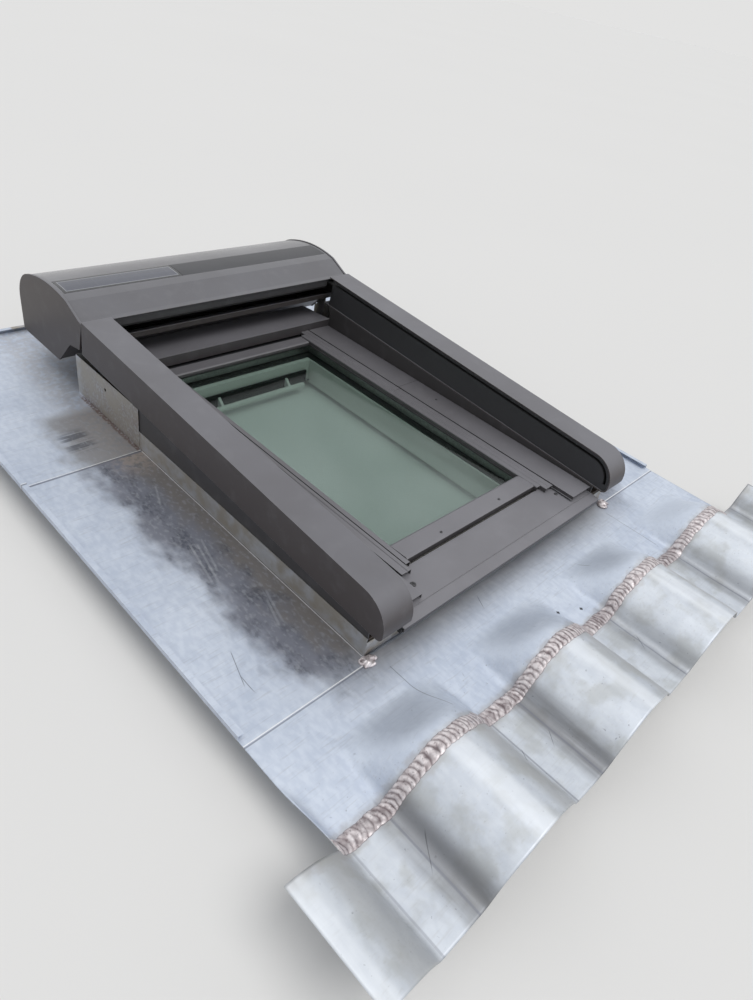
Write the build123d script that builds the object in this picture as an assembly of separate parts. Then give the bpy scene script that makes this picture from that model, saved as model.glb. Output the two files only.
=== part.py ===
"""Centre pivot roof window with its zinc flashing and an outside roller shutter.

Model frame: X across the window, Y up the roof slope, Z out of the roof, millimetres.
While modelling, Y is counted from the lower lip of the window and Z from the underside of the
zinc. The finished pieces are moved so that the origin is under the middle of the whole part.
"""

from build123d import *

import os
from math import asin, cos, hypot, radians, sin, sqrt, tan

# Window frame, timber
WINDOW_WIDTH = 550.0
WINDOW_LENGTH = 780.0
SILL_START = 21.0
FRAME_ABOVE_ZINC = 43.0
FRAME_BELOW_ZINC = 45.0
JAMB_WIDTH = 62.0
HEAD_WIDTH = 34.0
SILL_WIDTH = 64.0
KERB_WIDTH = 46.0
KERB_GAP = 1.0
KERB_TOP = 36.0
KERB_BACK = 37.0

# Steel straps that fix the frame to the rafters
BRACKET_STEEL = 2.5
BRACKET_INSET = 80.0
BRACKET_HOLE_X = 365.0
BRACKET_HOLE = 3.5
BRACKET_REACH = 392.0
BRACKET_WIDTH = 50.0

# Sash, timber and glass
SASH_SIDE_GAP = 6.0
SASH_BOTTOM_GAP = 13.0
SASH_TOP_GAP = 2.0
STILE_WIDTH = 45.0
SASH_RAIL_WIDTH = 53.0
SASH_UNDERSIDE = -35.0
REBATE_FLOOR = 20.0
SASH_TOP = 46.0
REBATE_WALL = 15.0
GLASS_GAP = 2.0
PANE = 4.0
GLASS_CAVITY = 14.0
GLASS_BED = 2.0
SPACER_WIDTH = 8.0

# Ventilation flap and control bar
VENT_HALF = 120.0
VENT_HEIGHT = 12.0
VENT_DEPTH = 14.0
FLAP_HALF = 150.0
FLAP_SHEET = 5.0
FLAP_GAP = 1.0
FLAP_LOW = -32.0
FLAP_TOP = 0.0
FLAP_PIN = 2.0
BAR_ARM = 17.0
BAR_ARM_WIDTH = 6.0
BAR_RADIUS = 6.0
BAR_DROP = 8.0

# Outside covers of the window
COVER_TOP = 55.0
COVER_SHEET = 1.2
RIB_INNER = 175.5
RIB_SPLIT = 186.0
RIB_GAP = 1.0
COVER_GROOVE = 208.5
GROOVE_WIDTH = 3.5
COVER_HALF = 272.0
COVER_END = 25.0
INNER_RIB_END = 83.0
OUTER_RIB_END = 70.0
PIVOT_Y = 472.0
COVER_JOINT = 480.0
JOINT_GAP = 1.0
HOOD_FRONT = 780.0
HOOD_BACK = 880.0
HOOD_RIDGE = 71.0
HOOD_REAR = 64.0
HOOD_LIP = 49.0
LIP_HEIGHT = 41.0
PLATE_REAR = 85.0
PLATE_CREASE = 20.0
CREASE_WIDTH = 1.6
CREASE_DEPTH = 0.7
GLASS_SIGHT_BOTTOM = 130.0
GLASS_SIGHT_TOP = 735.0
SASH_COVER_FALL = 1.5

# Pivot hinge: a curved runner in a curved channel, both centred on the pivot
HINGE_RADIUS = 36.0
RUNNER = 6.0
RUNNER_DEPTH = 7.0
RUNNER_ARC = 50.0
OPEN_ANGLE = 50.0
FIT = 0.05
HINGE_PLATE = 14.0
HINGE_SPAN = 112.0
HINGE_LOW = -2.0
HINGE_BACKING = 36.0

# Zinc sheets
ZINC = 0.8
ZINC_HALF = 540.0
STRIP_HALF = 621.0
UPSTAND_GAP = 4.0
UPSTAND = 38.0
RETURN_HEIGHT = 85.0
FRONT_JOINT = 20.0
BACK_JOINT = 620.0
RETURN_END = 840.0
CROSS_WALL = 38.0
DRAIN_HOLE = 6.0
ZINC_BACK = 1140.0
WELT = 9.0
LAP = 12.0
APRON_EDGE = -160.0
STRIP_START = -162.0
STRIP_END = -305.0

# Rolls that the lower strip is dressed over, and how far up the apron they fade out
ROLL_PITCH = 258.0
ROLL_CENTRE = -105.0
ROLL_HEIGHT = 54.0
ROLL_RADIUS = 102.0
FOOT_RADIUS = 14.0
BULGE_START = -146.0
BULGE_END = -52.0
BULGE_STEPS = 7
ROLL_STATIONS = (0.0, 0.18, 0.36, 0.54, 0.70, 0.82, 0.91, 0.96, 1.0)
SOLDER_UPPER = -147.0
SOLDER_LOWER = -167.5
SOLDER_EDGE = 5.0
SOLDER = 2.4
SOLDER_BITE = 0.4

# Side rails of the shutter
RAIL_INNER = 273.0
RAIL_OUTER = 331.0
RAIL_WALL = 2.5
RAIL_SLOPE = 3.585
RAIL_TOP_AT_BOX = 170.0
RAIL_BOTTOM_AT_BOX = 103.0
RAIL_BOTTOM_SLOPE = 3.283
NOSE = -7.0
NOSE_RADIUS = 50.0
CHIN_RADIUS = 11.0
SLOT_DEPTH = 8.5
SLOT_WIDTH = 6.0
SLOT_WALL = 2.0
SLOT_END = 304.0
TONGUE = 48.0
GUIDE_SHEET = 2.5
BRUSH = 0.8
SKIRT = 2.0

# Shutter casing
BOX_FRONT = 795.0
BOX_FRONT_LOW = 811.0
BOX_FRONT_LOW_Z = 108.0
BOX_NOTCH_TOP = (849.0, 101.0)
BOX_NOTCH_LOW = (903.0, 44.0)
BOX_BACK = 1057.0
BOX_BOTTOM = 44.0
BOX_TOP = 195.0
BOX_LIP_Z = 165.5
BOX_BEND = (806.0, 168.2)
BOX_CROWN_START = 850.0
BOX_CREST = 911.5
BOX_CROWN_END = 1012.0
BOX_CROWN_RADIUS = 290.0
BOX_BACK_SHOULDER = 112.0
CAP = 4.0
CAP_RIM = 2.5
CAP_RIM_DEPTH = 8.0
CAP_PROUD = 1.5
CASING_SHEET = 2.5
PANEL_START = 873.0
PANEL_END = 926.0
PANEL_RECESS = 1.2
SEAT_GAP = 0.25
PANEL_SPLIT = -71.0
LIP_DEPTH = 163.0

# Roller, curtain and bottom bar
ROLLER_Y = 940.0
ROLLER_Z = 118.0
TUBE_RADIUS = 20.0
TUBE_WALL = 1.2
TUBE_HALF = 304.0
ROLL_OUTER = 50.0
ROLL_HALF = 286.0
SLAT_COUNT = 18
MOTOR_LENGTH = 420.0
BATTERY = (220.0, 36.0, 22.0)
BAR_START = 800.0
BAR_LENGTH = 32.0
BAR_HEIGHT = 15.0
BAR_HALF = 271.0
RUNNER_HALF = 296.0
RUNNER_HEIGHT = 4.0
SEAL_HEIGHT = 4.0

# Screws: X, Y and radius of those in the bottom cover, then X and radius of those on the sash
PLATE_SCREWS = ((-200.0, 52.0, 5.0), (204.0, 56.0, 3.5))
SASH_SCREW_X = 80.0
SASH_SCREW = 2.4

FRAME_HALF = WINDOW_WIDTH / 2
FRAME_END = SILL_START + WINDOW_LENGTH
JAMB_INNER = FRAME_HALF - JAMB_WIDTH
HEAD_INNER = FRAME_END - HEAD_WIDTH
SILL_INNER = SILL_START + SILL_WIDTH
SASH_HALF = JAMB_INNER - SASH_SIDE_GAP
STILE_INNER = SASH_HALF - STILE_WIDTH
SASH_START = SILL_INNER + SASH_BOTTOM_GAP
SASH_END = HEAD_INNER - SASH_TOP_GAP
SASH_COVER_START = SASH_START - 5
REBATE_HALF = SASH_HALF - REBATE_WALL
GLASS_HALF = REBATE_HALF - GLASS_GAP
GLASS_START = SASH_START + REBATE_WALL + GLASS_GAP
GLASS_END = SASH_END - REBATE_WALL - GLASS_GAP
INNER_PANE_LOW = REBATE_FLOOR + GLASS_BED
SPACER_LOW = INNER_PANE_LOW + PANE
OUTER_PANE_LOW = SPACER_LOW + GLASS_CAVITY
GLASS_TOP = OUTER_PANE_LOW + PANE
KERB_HALF = FRAME_HALF + KERB_GAP + KERB_WIDTH
KERB_END = FRAME_END + KERB_BACK
UPSTAND_HALF = KERB_HALF + UPSTAND_GAP
FRAME_UNDERSIDE = -FRAME_BELOW_ZINC
KERB_UNDERSIDE = FRAME_UNDERSIDE + BRACKET_STEEL
CAP_INNER = RAIL_OUTER - CAP
COVER_X = CAP_INNER - 0.3
FLAP_FACE = SASH_END - SASH_RAIL_WIDTH - FLAP_GAP
FLAP_PIVOT = (FLAP_FACE - FLAP_SHEET / 2, FLAP_LOW + FLAP_SHEET / 2)
BRACKET_ROWS = (SILL_START + BRACKET_INSET, FRAME_END - BRACKET_INSET)
BRACKET_INSIDE = JAMB_INNER + 12
TO_ORIGIN = Location((0, -(ZINC_BACK + STRIP_END) / 2, FRAME_BELOW_ZINC))


def block(x0, x1, y0, y1, z0, z1):
    """Box between two corners."""
    return Pos((x0 + x1) / 2, (y0 + y1) / 2, (z0 + z1) / 2) * Box(x1 - x0, y1 - y0, z1 - z0)


def pair(shape):
    """A piece on the left and its mirror image on the right, given the right one."""
    return {"left": mirror(shape, about=Plane.YZ), "right": shape}


def across(face, x0, x1):
    """Side view, drawn as (Y, Z), carried across from x0 to x1."""
    return extrude(Plane.YZ.offset(x0) * face, x1 - x0, dir=(1, 0, 0))


def along(face, y0, y1):
    """Cross section, drawn as (X, Z), carried up the slope from y0 to y1."""
    plane = Plane(origin=(0, y0, 0), x_dir=(1, 0, 0), z_dir=(0, -1, 0))
    return extrude(plane * face, y1 - y0, dir=(0, 1, 0))


def outline(*points):
    """Flat closed face with straight edges."""
    return make_face(Polyline(*points, close=True))


def folded(thickness, *points):
    """Section of a folded sheet. The points are its outer surface, and the metal lies on their right."""
    path = [Vector(*point) for point in points]
    normals = []
    for start, end in zip(path, path[1:]):
        direction = (end - start).normalized()
        normals.append(Vector(direction.Y, -direction.X))
    normals = [normals[0], *normals, normals[-1]]
    inner = []
    for point, before, after in zip(path, normals, normals[1:]):
        inner.append(point + (before + after) * (thickness / (1 + before.dot(after))))
    return make_face(Polyline(*path, *reversed(inner), close=True))


def ring(half, start, end, wide, z0, z1):
    """Flat rectangular ring: outer half width, outer start and end, and how wide its band is."""
    outer = block(-half, half, start, end, z0, z1)
    return outer - block(-half + wide, half - wide, start + wide, end - wide, z0 - 1, z1 + 1)


def rod(radius, length, position, axis="Z"):
    """Cylinder centred on a position, along one of the main axes."""
    turn = {"X": Rot(0, 90, 0), "Y": Rot(90, 0, 0), "Z": Rot(0, 0, 0)}[axis]
    return Pos(*position) * turn * Cylinder(radius, length)


def screw_head(x, y, z, radius=4.0, height=1.6):
    """Low domed screw head with a cross recess, standing on the plane z."""
    head = Pos(x, y, z) * Cylinder(radius, height, align=(Align.CENTER, Align.CENTER, Align.MIN))
    head = chamfer(head.edges().sort_by(Axis.Z)[-1], height * 0.4)
    slot = Box(radius, radius * 0.25, height) + Box(radius * 0.25, radius, height)
    return head - Pos(x, y, z + height) * slot


def window_frame():
    """Four timber members, with recesses in the jambs for the pivot hinges."""
    jamb = block(JAMB_INNER, FRAME_HALF, SILL_START, FRAME_END, FRAME_UNDERSIDE, FRAME_ABOVE_ZINC)
    jamb -= block(0, SASH_HALF + HINGE_PLATE, PIVOT_Y - HINGE_SPAN / 2, PIVOT_Y + HINGE_SPAN / 2,
                  HINGE_LOW, FRAME_ABOVE_ZINC + 1)
    for y in BRACKET_ROWS:
        jamb -= block(BRACKET_INSIDE, FRAME_HALF + 1, y - BRACKET_WIDTH / 2, y + BRACKET_WIDTH / 2,
                      FRAME_UNDERSIDE - 1, KERB_UNDERSIDE)
    jambs = pair(jamb)
    inside = JAMB_INNER
    return {
        "jamb_left": jambs["left"],
        "jamb_right": jambs["right"],
        "frame_head": block(-inside, inside, HEAD_INNER, FRAME_END, FRAME_UNDERSIDE, FRAME_ABOVE_ZINC),
        "frame_sill": block(-inside, inside, SILL_START, SILL_INNER, FRAME_UNDERSIDE, FRAME_ABOVE_ZINC),
    }


def kerb():
    """Timber kerb around the sides and back of the frame, which the zinc stands against."""
    side = block(KERB_HALF - KERB_WIDTH, KERB_HALF, SILL_START, KERB_END, KERB_UNDERSIDE, KERB_TOP)
    sides = pair(side)
    inside = KERB_HALF - KERB_WIDTH
    back = block(-inside, inside, FRAME_END, KERB_END, KERB_UNDERSIDE, KERB_TOP)
    return {"kerb_left": sides["left"], "kerb_right": sides["right"], "kerb_back": back}


def mounting_brackets():
    """Four steel straps let into the jambs and under the kerb, drilled where they reach the rafters."""
    straps = []
    for y in BRACKET_ROWS:
        strap = block(BRACKET_INSIDE, BRACKET_REACH, y - BRACKET_WIDTH / 2, y + BRACKET_WIDTH / 2,
                      FRAME_UNDERSIDE, KERB_UNDERSIDE)
        strap = fillet(strap.edges().filter_by(Axis.Z).sort_by(Axis.X)[-2:], BRACKET_WIDTH / 5)
        strap -= rod(BRACKET_HOLE, 10, (BRACKET_HOLE_X, y, KERB_UNDERSIDE))
        straps += [strap, mirror(strap, about=Plane.YZ)]
    return Compound(straps)


def sash_timber():
    """Stiles and rails with the rebate that the glass lies in, and recesses for the hinges."""
    section = outline((STILE_INNER, SASH_UNDERSIDE), (SASH_HALF, SASH_UNDERSIDE), (SASH_HALF, SASH_TOP),
                      (REBATE_HALF, SASH_TOP), (REBATE_HALF, REBATE_FLOOR), (STILE_INNER, REBATE_FLOOR))
    stile = along(section, SASH_START, SASH_END) - hinge_recess()
    stiles = pair(stile)
    bottom = block(-STILE_INNER, STILE_INNER, SASH_START, SASH_START + SASH_RAIL_WIDTH,
                   SASH_UNDERSIDE, REBATE_FLOOR)
    bottom += block(-REBATE_HALF, REBATE_HALF, SASH_START, SASH_START + REBATE_WALL, REBATE_FLOOR, SASH_TOP)
    top = block(-STILE_INNER, STILE_INNER, SASH_END - SASH_RAIL_WIDTH, SASH_END,
                SASH_UNDERSIDE, REBATE_FLOOR)
    top += block(-REBATE_HALF, REBATE_HALF, SASH_END - REBATE_WALL, SASH_END, REBATE_FLOOR, SASH_TOP)
    top -= vent_recess()
    return {"stile_left": stiles["left"], "stile_right": stiles["right"],
            "sash_bottom_rail": bottom, "sash_top_rail": top}


def vent_recess():
    """Filter recess in the inner face of the top rail, behind the flap."""
    face, middle = SASH_END - SASH_RAIL_WIDTH, (FLAP_LOW + FLAP_TOP) / 2
    return block(-VENT_HALF, VENT_HALF, face - 1, face + VENT_DEPTH,
                 middle - VENT_HEIGHT / 2, middle + VENT_HEIGHT / 2)


def vent_flap():
    """Flap over the filter recess. Its pin turns in two ears on the top rail."""
    flap = block(-FLAP_HALF, FLAP_HALF, FLAP_FACE - FLAP_SHEET, FLAP_FACE, FLAP_LOW, FLAP_TOP)
    flap = fillet(flap.edges().filter_by(Axis.X), FLAP_SHEET * 0.45)
    y, z = FLAP_PIVOT
    flap += rod(FLAP_PIN, 2 * (STILE_INNER - 0.3), (0, y, z), "X")
    return {"vent_flap": flap}


def flap_ears():
    """Two ears beside the flap, bored for its pin and standing on the top rail."""
    y, z = FLAP_PIVOT
    ear = block(FLAP_HALF + 1, FLAP_HALF + 5, y - 4, SASH_END - SASH_RAIL_WIDTH, z - 3, z + 5)
    ear -= rod(FLAP_PIN + FIT, 20, (FLAP_HALF + 3, y, z), "X")
    ears = pair(ear)
    return Compound([ears["left"], ears["right"]])


def control_bar():
    """Round pull bar, held by two arms that taper towards it from the face of the flap."""
    face = FLAP_FACE - FLAP_SHEET
    y, z = face - BAR_ARM, FLAP_LOW + BAR_DROP
    bar = rod(BAR_RADIUS, 2 * FLAP_HALF - 40, (0, y, z), "X")
    bar = fillet(bar.edges(), BAR_RADIUS * 0.4)
    arm = outline((face, FLAP_TOP - 6), (y, z + BAR_RADIUS * 0.6), (y, z - BAR_RADIUS * 0.6), (face, z - 2))
    for x in (-FLAP_HALF * 0.6, FLAP_HALF * 0.6):
        bar += across(arm, x - BAR_ARM_WIDTH / 2, x + BAR_ARM_WIDTH / 2)
    return {"control_bar": bar}


def sealed_glass():
    """Two panes with a spacer between them, lying on a bed in the rebate, and the outer seal."""
    def pane(z0, thickness):
        return block(-GLASS_HALF, GLASS_HALF, GLASS_START, GLASS_END, z0, z0 + thickness)
    seal_wide, bed_wide = GLASS_HALF - RIB_INNER + 2, GLASS_HALF - STILE_INNER - 4
    bed = ring(GLASS_HALF, GLASS_START, GLASS_END, bed_wide, REBATE_FLOOR, INNER_PANE_LOW)
    seal = block(-GLASS_HALF, GLASS_HALF, GLASS_START, GLASS_END, GLASS_TOP, SASH_TOP)
    seal -= block(-GLASS_HALF + seal_wide, GLASS_HALF - seal_wide, GLASS_SIGHT_BOTTOM + 1,
                  GLASS_SIGHT_TOP - 1, GLASS_TOP - 1, SASH_TOP + 1)
    return {
        "inner_pane": pane(INNER_PANE_LOW, PANE),
        "outer_pane": pane(OUTER_PANE_LOW, PANE),
        "glass_spacer": ring(GLASS_HALF - 3, GLASS_START + 3, GLASS_END - 3, SPACER_WIDTH,
                             SPACER_LOW, OUTER_PANE_LOW),
        "glass_gaskets": Compound([seal, bed]),
    }


def sash_cover_top(y):
    """Height of the sash's bottom cover, which falls a little towards the glass."""
    return COVER_TOP - SASH_COVER_FALL * (y - SASH_COVER_START) / (GLASS_SIGHT_BOTTOM - 4 - SASH_COVER_START)


def sash_covers():
    """Folded covers of the sash: two long beads, the bottom cover and the top cover."""
    bead = folded(COVER_SHEET, (RIB_INNER, SASH_TOP), (RIB_INNER, COVER_TOP - 1.5),
                  (RIB_INNER + 1.5, COVER_TOP), (RIB_SPLIT, COVER_TOP), (RIB_SPLIT, SASH_TOP))
    beads = pair(along(bead, INNER_RIB_END, SASH_END - 1))
    half = RIB_INNER - 0.5
    low, bend = SASH_COVER_START - 3, GLASS_SIGHT_BOTTOM - 4
    bottom = folded(COVER_SHEET, (low, SASH_TOP - 5), (low, COVER_TOP - 2), (SASH_COVER_START, COVER_TOP),
                    (bend, sash_cover_top(bend)), (GLASS_SIGHT_BOTTOM, COVER_TOP - 4),
                    (GLASS_SIGHT_BOTTOM, SASH_TOP))
    end = SASH_END - 1
    top = folded(COVER_SHEET, (GLASS_SIGHT_TOP, SASH_TOP), (GLASS_SIGHT_TOP, COVER_TOP - 5),
                 (GLASS_SIGHT_TOP + 3, COVER_TOP - 3), (end, COVER_TOP - 3), (end, SASH_TOP))
    return {"sash_beads": Compound([beads["left"], beads["right"]]),
            "sash_bottom_cover": across(bottom, -half, half), "sash_top_cover": across(top, -half, half)}


def side_cover_section(rib_foot, outer_foot):
    """Cover beside the glass: outer rib, groove and wide plate in one folded sheet."""
    left = RIB_SPLIT + RIB_GAP
    right = COVER_GROOVE + GROOVE_WIDTH
    deep = COVER_TOP - 6.8
    return folded(COVER_SHEET, (left, rib_foot), (left, COVER_TOP - 1), (left + 1, COVER_TOP),
                  (left + 7, COVER_TOP), (left + 8, COVER_TOP - 1), (left + 11, COVER_TOP - 1),
                  (left + 12, COVER_TOP), (COVER_GROOVE, COVER_TOP), (COVER_GROOVE, deep), (right, deep),
                  (right, COVER_TOP), (COVER_HALF, COVER_TOP), (COVER_HALF, outer_foot))


def side_covers():
    """Upper covers, which stay on the frame, and lower covers, which swing out with the sash."""
    half_gap = JOINT_GAP / 2
    upper = along(side_cover_section(SASH_TOP + 1.2, FRAME_ABOVE_ZINC), PIVOT_Y + half_gap, HOOD_FRONT - 1)
    step = COVER_GROOVE + GROOVE_WIDTH / 2
    upper -= block(step, COVER_HALF + 1, 0, COVER_JOINT + half_gap, 0, COVER_TOP + 1)
    lower = along(side_cover_section(SASH_TOP, FRAME_ABOVE_ZINC + 3.5), COVER_END, COVER_JOINT - half_gap)
    lower -= block(0, step, PIVOT_Y - half_gap, COVER_JOINT, 0, COVER_TOP + 1)
    lower -= block(0, step, 0, OUTER_RIB_END, 0, COVER_TOP + 1)
    lower -= block(step, COVER_HALF + 1, PIVOT_Y - 2, COVER_JOINT, 0, COVER_TOP - COVER_SHEET)
    uppers, lowers = pair(upper), pair(lower)
    return {"upper_cover_left": uppers["left"], "upper_cover_right": uppers["right"],
            "lower_cover_left": lowers["left"], "lower_cover_right": lowers["right"]}


def plate_top(y):
    """Height of the bottom cover's upper surface, which rises a little towards the glass."""
    return FRAME_ABOVE_ZINC + COVER_SHEET + (y - PLATE_CREASE) / (PLATE_REAR - PLATE_CREASE) * COVER_SHEET


def frame_covers():
    """Bottom cover with its lip over the zinc, and the hood over the head."""
    plate = folded(COVER_SHEET, (4, LIP_HEIGHT - 9), (0, LIP_HEIGHT - 7), (0, LIP_HEIGHT),
                   (PLATE_CREASE, plate_top(PLATE_CREASE)), (PLATE_REAR, plate_top(PLATE_REAR)),
                   (PLATE_REAR, FRAME_ABOVE_ZINC))
    hood = folded(COVER_SHEET, (HOOD_FRONT, HOOD_LIP), (HOOD_FRONT, HOOD_RIDGE),
                  (HOOD_BACK, HOOD_REAR), (HOOD_BACK, HOOD_REAR - 19))
    half = FRAME_HALF
    shell = across(hood, -half, half)
    cheek = outline((HOOD_FRONT, HOOD_LIP), (HOOD_FRONT, HOOD_RIDGE), (HOOD_BACK, HOOD_REAR),
                    (HOOD_BACK, HOOD_REAR - 19), (KERB_END + 7, KERB_TOP + 9), (KERB_END - 2, KERB_TOP),
                    (FRAME_END, KERB_TOP), (FRAME_END, FRAME_ABOVE_ZINC), (HOOD_FRONT + 4, FRAME_ABOVE_ZINC))
    for x in (-half, half - COVER_SHEET):
        shell += across(cheek, x, x + COVER_SHEET)
    cover = across(plate, -COVER_HALF - 0.5, COVER_HALF + 0.5)
    cover -= block(-COVER_HALF, COVER_HALF, PLATE_CREASE - CREASE_WIDTH / 2, PLATE_CREASE + CREASE_WIDTH / 2,
                   plate_top(PLATE_CREASE) - CREASE_DEPTH, plate_top(PLATE_CREASE) + 1)
    return {"bottom_cover": cover, "hood": shell}


def lip_blocks():
    """Rubber blocks in the corners under the lip of the bottom cover."""
    rise = (plate_top(PLATE_CREASE) - LIP_HEIGHT) / PLATE_CREASE
    under = LIP_HEIGHT - COVER_SHEET * hypot(1, rise)
    side = outline((COVER_SHEET, LIP_HEIGHT - 4.5), (COVER_SHEET, under + COVER_SHEET * rise),
                   (12, under + 12 * rise), (12, LIP_HEIGHT - 15), (5.5, LIP_HEIGHT - 15),
                   (5.5, LIP_HEIGHT - 7))
    blocks = pair(across(side, COVER_HALF - 11, COVER_HALF))
    return {"lip_blocks": Compound([blocks["left"], blocks["right"]])}


def arc_band(centre_y, centre_z, radius, width, start, end):
    """Band bent round a centre, in the side view. Angles in degrees from the up slope direction."""
    def at(r, angle):
        return centre_y + r * cos(radians(angle)), centre_z + r * sin(radians(angle))
    inner, outer, middle = radius - width / 2, radius + width / 2, (start + end) / 2
    edges = [ThreePointArc(at(outer, start), at(outer, middle), at(outer, end)),
             Line(at(outer, end), at(inner, end)),
             ThreePointArc(at(inner, end), at(inner, middle), at(inner, start)),
             Line(at(inner, start), at(outer, start))]
    return make_face(edges)


def hinge_recess():
    """Recess in the stile for the plate that carries the runner."""
    return block(SASH_HALF - RUNNER_DEPTH, SASH_HALF + 1, PIVOT_Y - RUNNER_ARC, PIVOT_Y + RUNNER_ARC,
                 HINGE_LOW, HINGE_BACKING)


def pivot_hinges():
    """Runner plates on the stiles and channel plates in the jambs. The runner slides round the pivot."""
    middle = 270.0 + OPEN_ANGLE / 2
    runner = across(arc_band(PIVOT_Y, COVER_TOP, HINGE_RADIUS, RUNNER, middle - RUNNER_ARC / 2,
                             middle + RUNNER_ARC / 2), SASH_HALF, SASH_HALF + RUNNER_DEPTH)
    plate = hinge_recess() & block(0, SASH_HALF, 0, HEAD_INNER, FRAME_UNDERSIDE, COVER_TOP)
    channel = across(arc_band(PIVOT_Y, COVER_TOP, HINGE_RADIUS, RUNNER + 2 * FIT,
                              middle - RUNNER_ARC / 2 - OPEN_ANGLE - 2, middle + RUNNER_ARC / 2 + 2),
                     SASH_HALF, SASH_HALF + RUNNER_DEPTH + 1)
    housing = block(SASH_HALF + 1, SASH_HALF + HINGE_PLATE, PIVOT_Y - HINGE_SPAN / 2,
                    PIVOT_Y + HINGE_SPAN / 2, HINGE_LOW, FRAME_ABOVE_ZINC - 1) - channel
    runners, housings = pair(runner + plate), pair(housing)
    return {"hinge_runners": Compound([runners["left"], runners["right"]]),
            "hinge_channels": Compound([housings["left"], housings["right"]])}


def frame_gasket():
    """Rubber strips on the jambs, outside of the sash below the pivot and inside of it above."""
    clear = HINGE_SPAN / 2 + 4
    x = SASH_HALF + 0.3
    low = block(x, JAMB_INNER, SASH_START, PIVOT_Y - clear, REBATE_FLOOR, REBATE_FLOOR + 10)
    high = block(x, JAMB_INNER, PIVOT_Y + clear, SASH_END, SASH_UNDERSIDE + 2, SASH_UNDERSIDE + 12)
    strips = []
    for strip in (low, high):
        strip = fillet(strip.edges().filter_by(Axis.Y).group_by(Axis.X)[0], 2)
        strips += [strip, mirror(strip, about=Plane.YZ)]
    return {"frame_gasket": Compound(strips)}


def flat_sheet(half, y0, y1):
    """Zinc lying on the roof, from the underside up."""
    return block(-half, half, y0, y1, 0, ZINC)


def edge_fold(end):
    """Section of a zinc edge turned up and folded back, as a water check."""
    return folded(-ZINC, (end - 2 * WELT, 0), (end, 0), (end, WELT), (end - WELT, WELT))


def zinc_sheets():
    """Apron in front, a sheet on each side with its upstand, and the back sheet with taller returns."""
    apron = flat_sheet(ZINC_HALF, BULGE_END, FRONT_JOINT)
    apron += loft([apron_section(x) for x in roll_stations()], ruled=True)
    apron += block(-UPSTAND_HALF, UPSTAND_HALF, FRONT_JOINT - ZINC, FRONT_JOINT, 0, LIP_HEIGHT - 10)
    section = folded(-ZINC, (UPSTAND_HALF - ZINC, UPSTAND), (UPSTAND_HALF - ZINC, 0), (ZINC_HALF, 0),
                     (ZINC_HALF, WELT), (ZINC_HALF - WELT, WELT))
    side = along(section, FRONT_JOINT, BACK_JOINT)
    side += block(UPSTAND_HALF, ZINC_HALF, FRONT_JOINT - LAP, FRONT_JOINT + 2, ZINC, 2 * ZINC)
    sides = pair(side)
    back = flat_sheet(ZINC_HALF, BACK_JOINT, ZINC_BACK)
    back -= block(-UPSTAND_HALF + ZINC, UPSTAND_HALF - ZINC, 0, RETURN_END - ZINC, -1, ZINC + 1)
    back += block(-UPSTAND_HALF, UPSTAND_HALF, RETURN_END - ZINC, RETURN_END, 0, CROSS_WALL)
    corner = block(UPSTAND_HALF - ZINC, UPSTAND_HALF, BACK_JOINT, RETURN_END, 0, RETURN_HEIGHT)
    corner += block(FRAME_HALF + 2, UPSTAND_HALF, RETURN_END - ZINC, RETURN_END, 0, RETURN_HEIGHT)
    corner += block(UPSTAND_HALF, UPSTAND_HALF + ZINC, BACK_JOINT - LAP / 2, BACK_JOINT + LAP,
                    2 * ZINC, RETURN_HEIGHT)
    corner += block(UPSTAND_HALF, ZINC_HALF - ZINC, BACK_JOINT - LAP, BACK_JOINT + 2, ZINC, 2 * ZINC)
    corner += along(edge_fold(ZINC_HALF), BACK_JOINT, ZINC_BACK)
    corners = pair(corner)
    drain = Pos(-UPSTAND_HALF, (BACK_JOINT + RETURN_END) / 2 + 1, RETURN_HEIGHT - 22)
    drain *= Box(4, DRAIN_HOLE, DRAIN_HOLE)
    back += corners["left"] - drain
    back += corners["right"]
    back += across(edge_fold(ZINC_BACK), -ZINC_HALF, ZINC_HALF)
    return {"apron": apron, "side_sheet_left": sides["left"], "side_sheet_right": sides["right"],
            "back_sheet": back}


def roll_reach():
    """Half widths of a roll: up to the end of its round top, and up to where its feet meet the valley."""
    foot = sqrt((ROLL_RADIUS + FOOT_RADIUS) ** 2 - (FOOT_RADIUS + ROLL_RADIUS - ROLL_HEIGHT) ** 2)
    return foot * ROLL_RADIUS / (ROLL_RADIUS + FOOT_RADIUS), foot


def crests():
    """Crest of each roll, from one at or before the left end to one at or after the right end."""
    first = int((-STRIP_HALF - ROLL_CENTRE) // ROLL_PITCH)
    last = int((STRIP_HALF - ROLL_CENTRE) // ROLL_PITCH) + 1
    return [ROLL_CENTRE + number * ROLL_PITCH for number in range(first, last + 1)]


def roll_height(x, lift=0.0):
    """Height of the dressed strip at x: round roll, rounded feet, flat valley. Lift goes up its normal."""
    from_crest = abs((x - ROLL_CENTRE + ROLL_PITCH / 2) % ROLL_PITCH - ROLL_PITCH / 2)
    tangent, foot = roll_reach()
    if from_crest < tangent * (ROLL_RADIUS + lift) / ROLL_RADIUS:
        return ROLL_HEIGHT - ROLL_RADIUS + sqrt((ROLL_RADIUS + lift) ** 2 - from_crest ** 2)
    if from_crest < foot:
        return FOOT_RADIUS - sqrt((FOOT_RADIUS - lift) ** 2 - (foot - from_crest) ** 2)
    return lift


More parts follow.
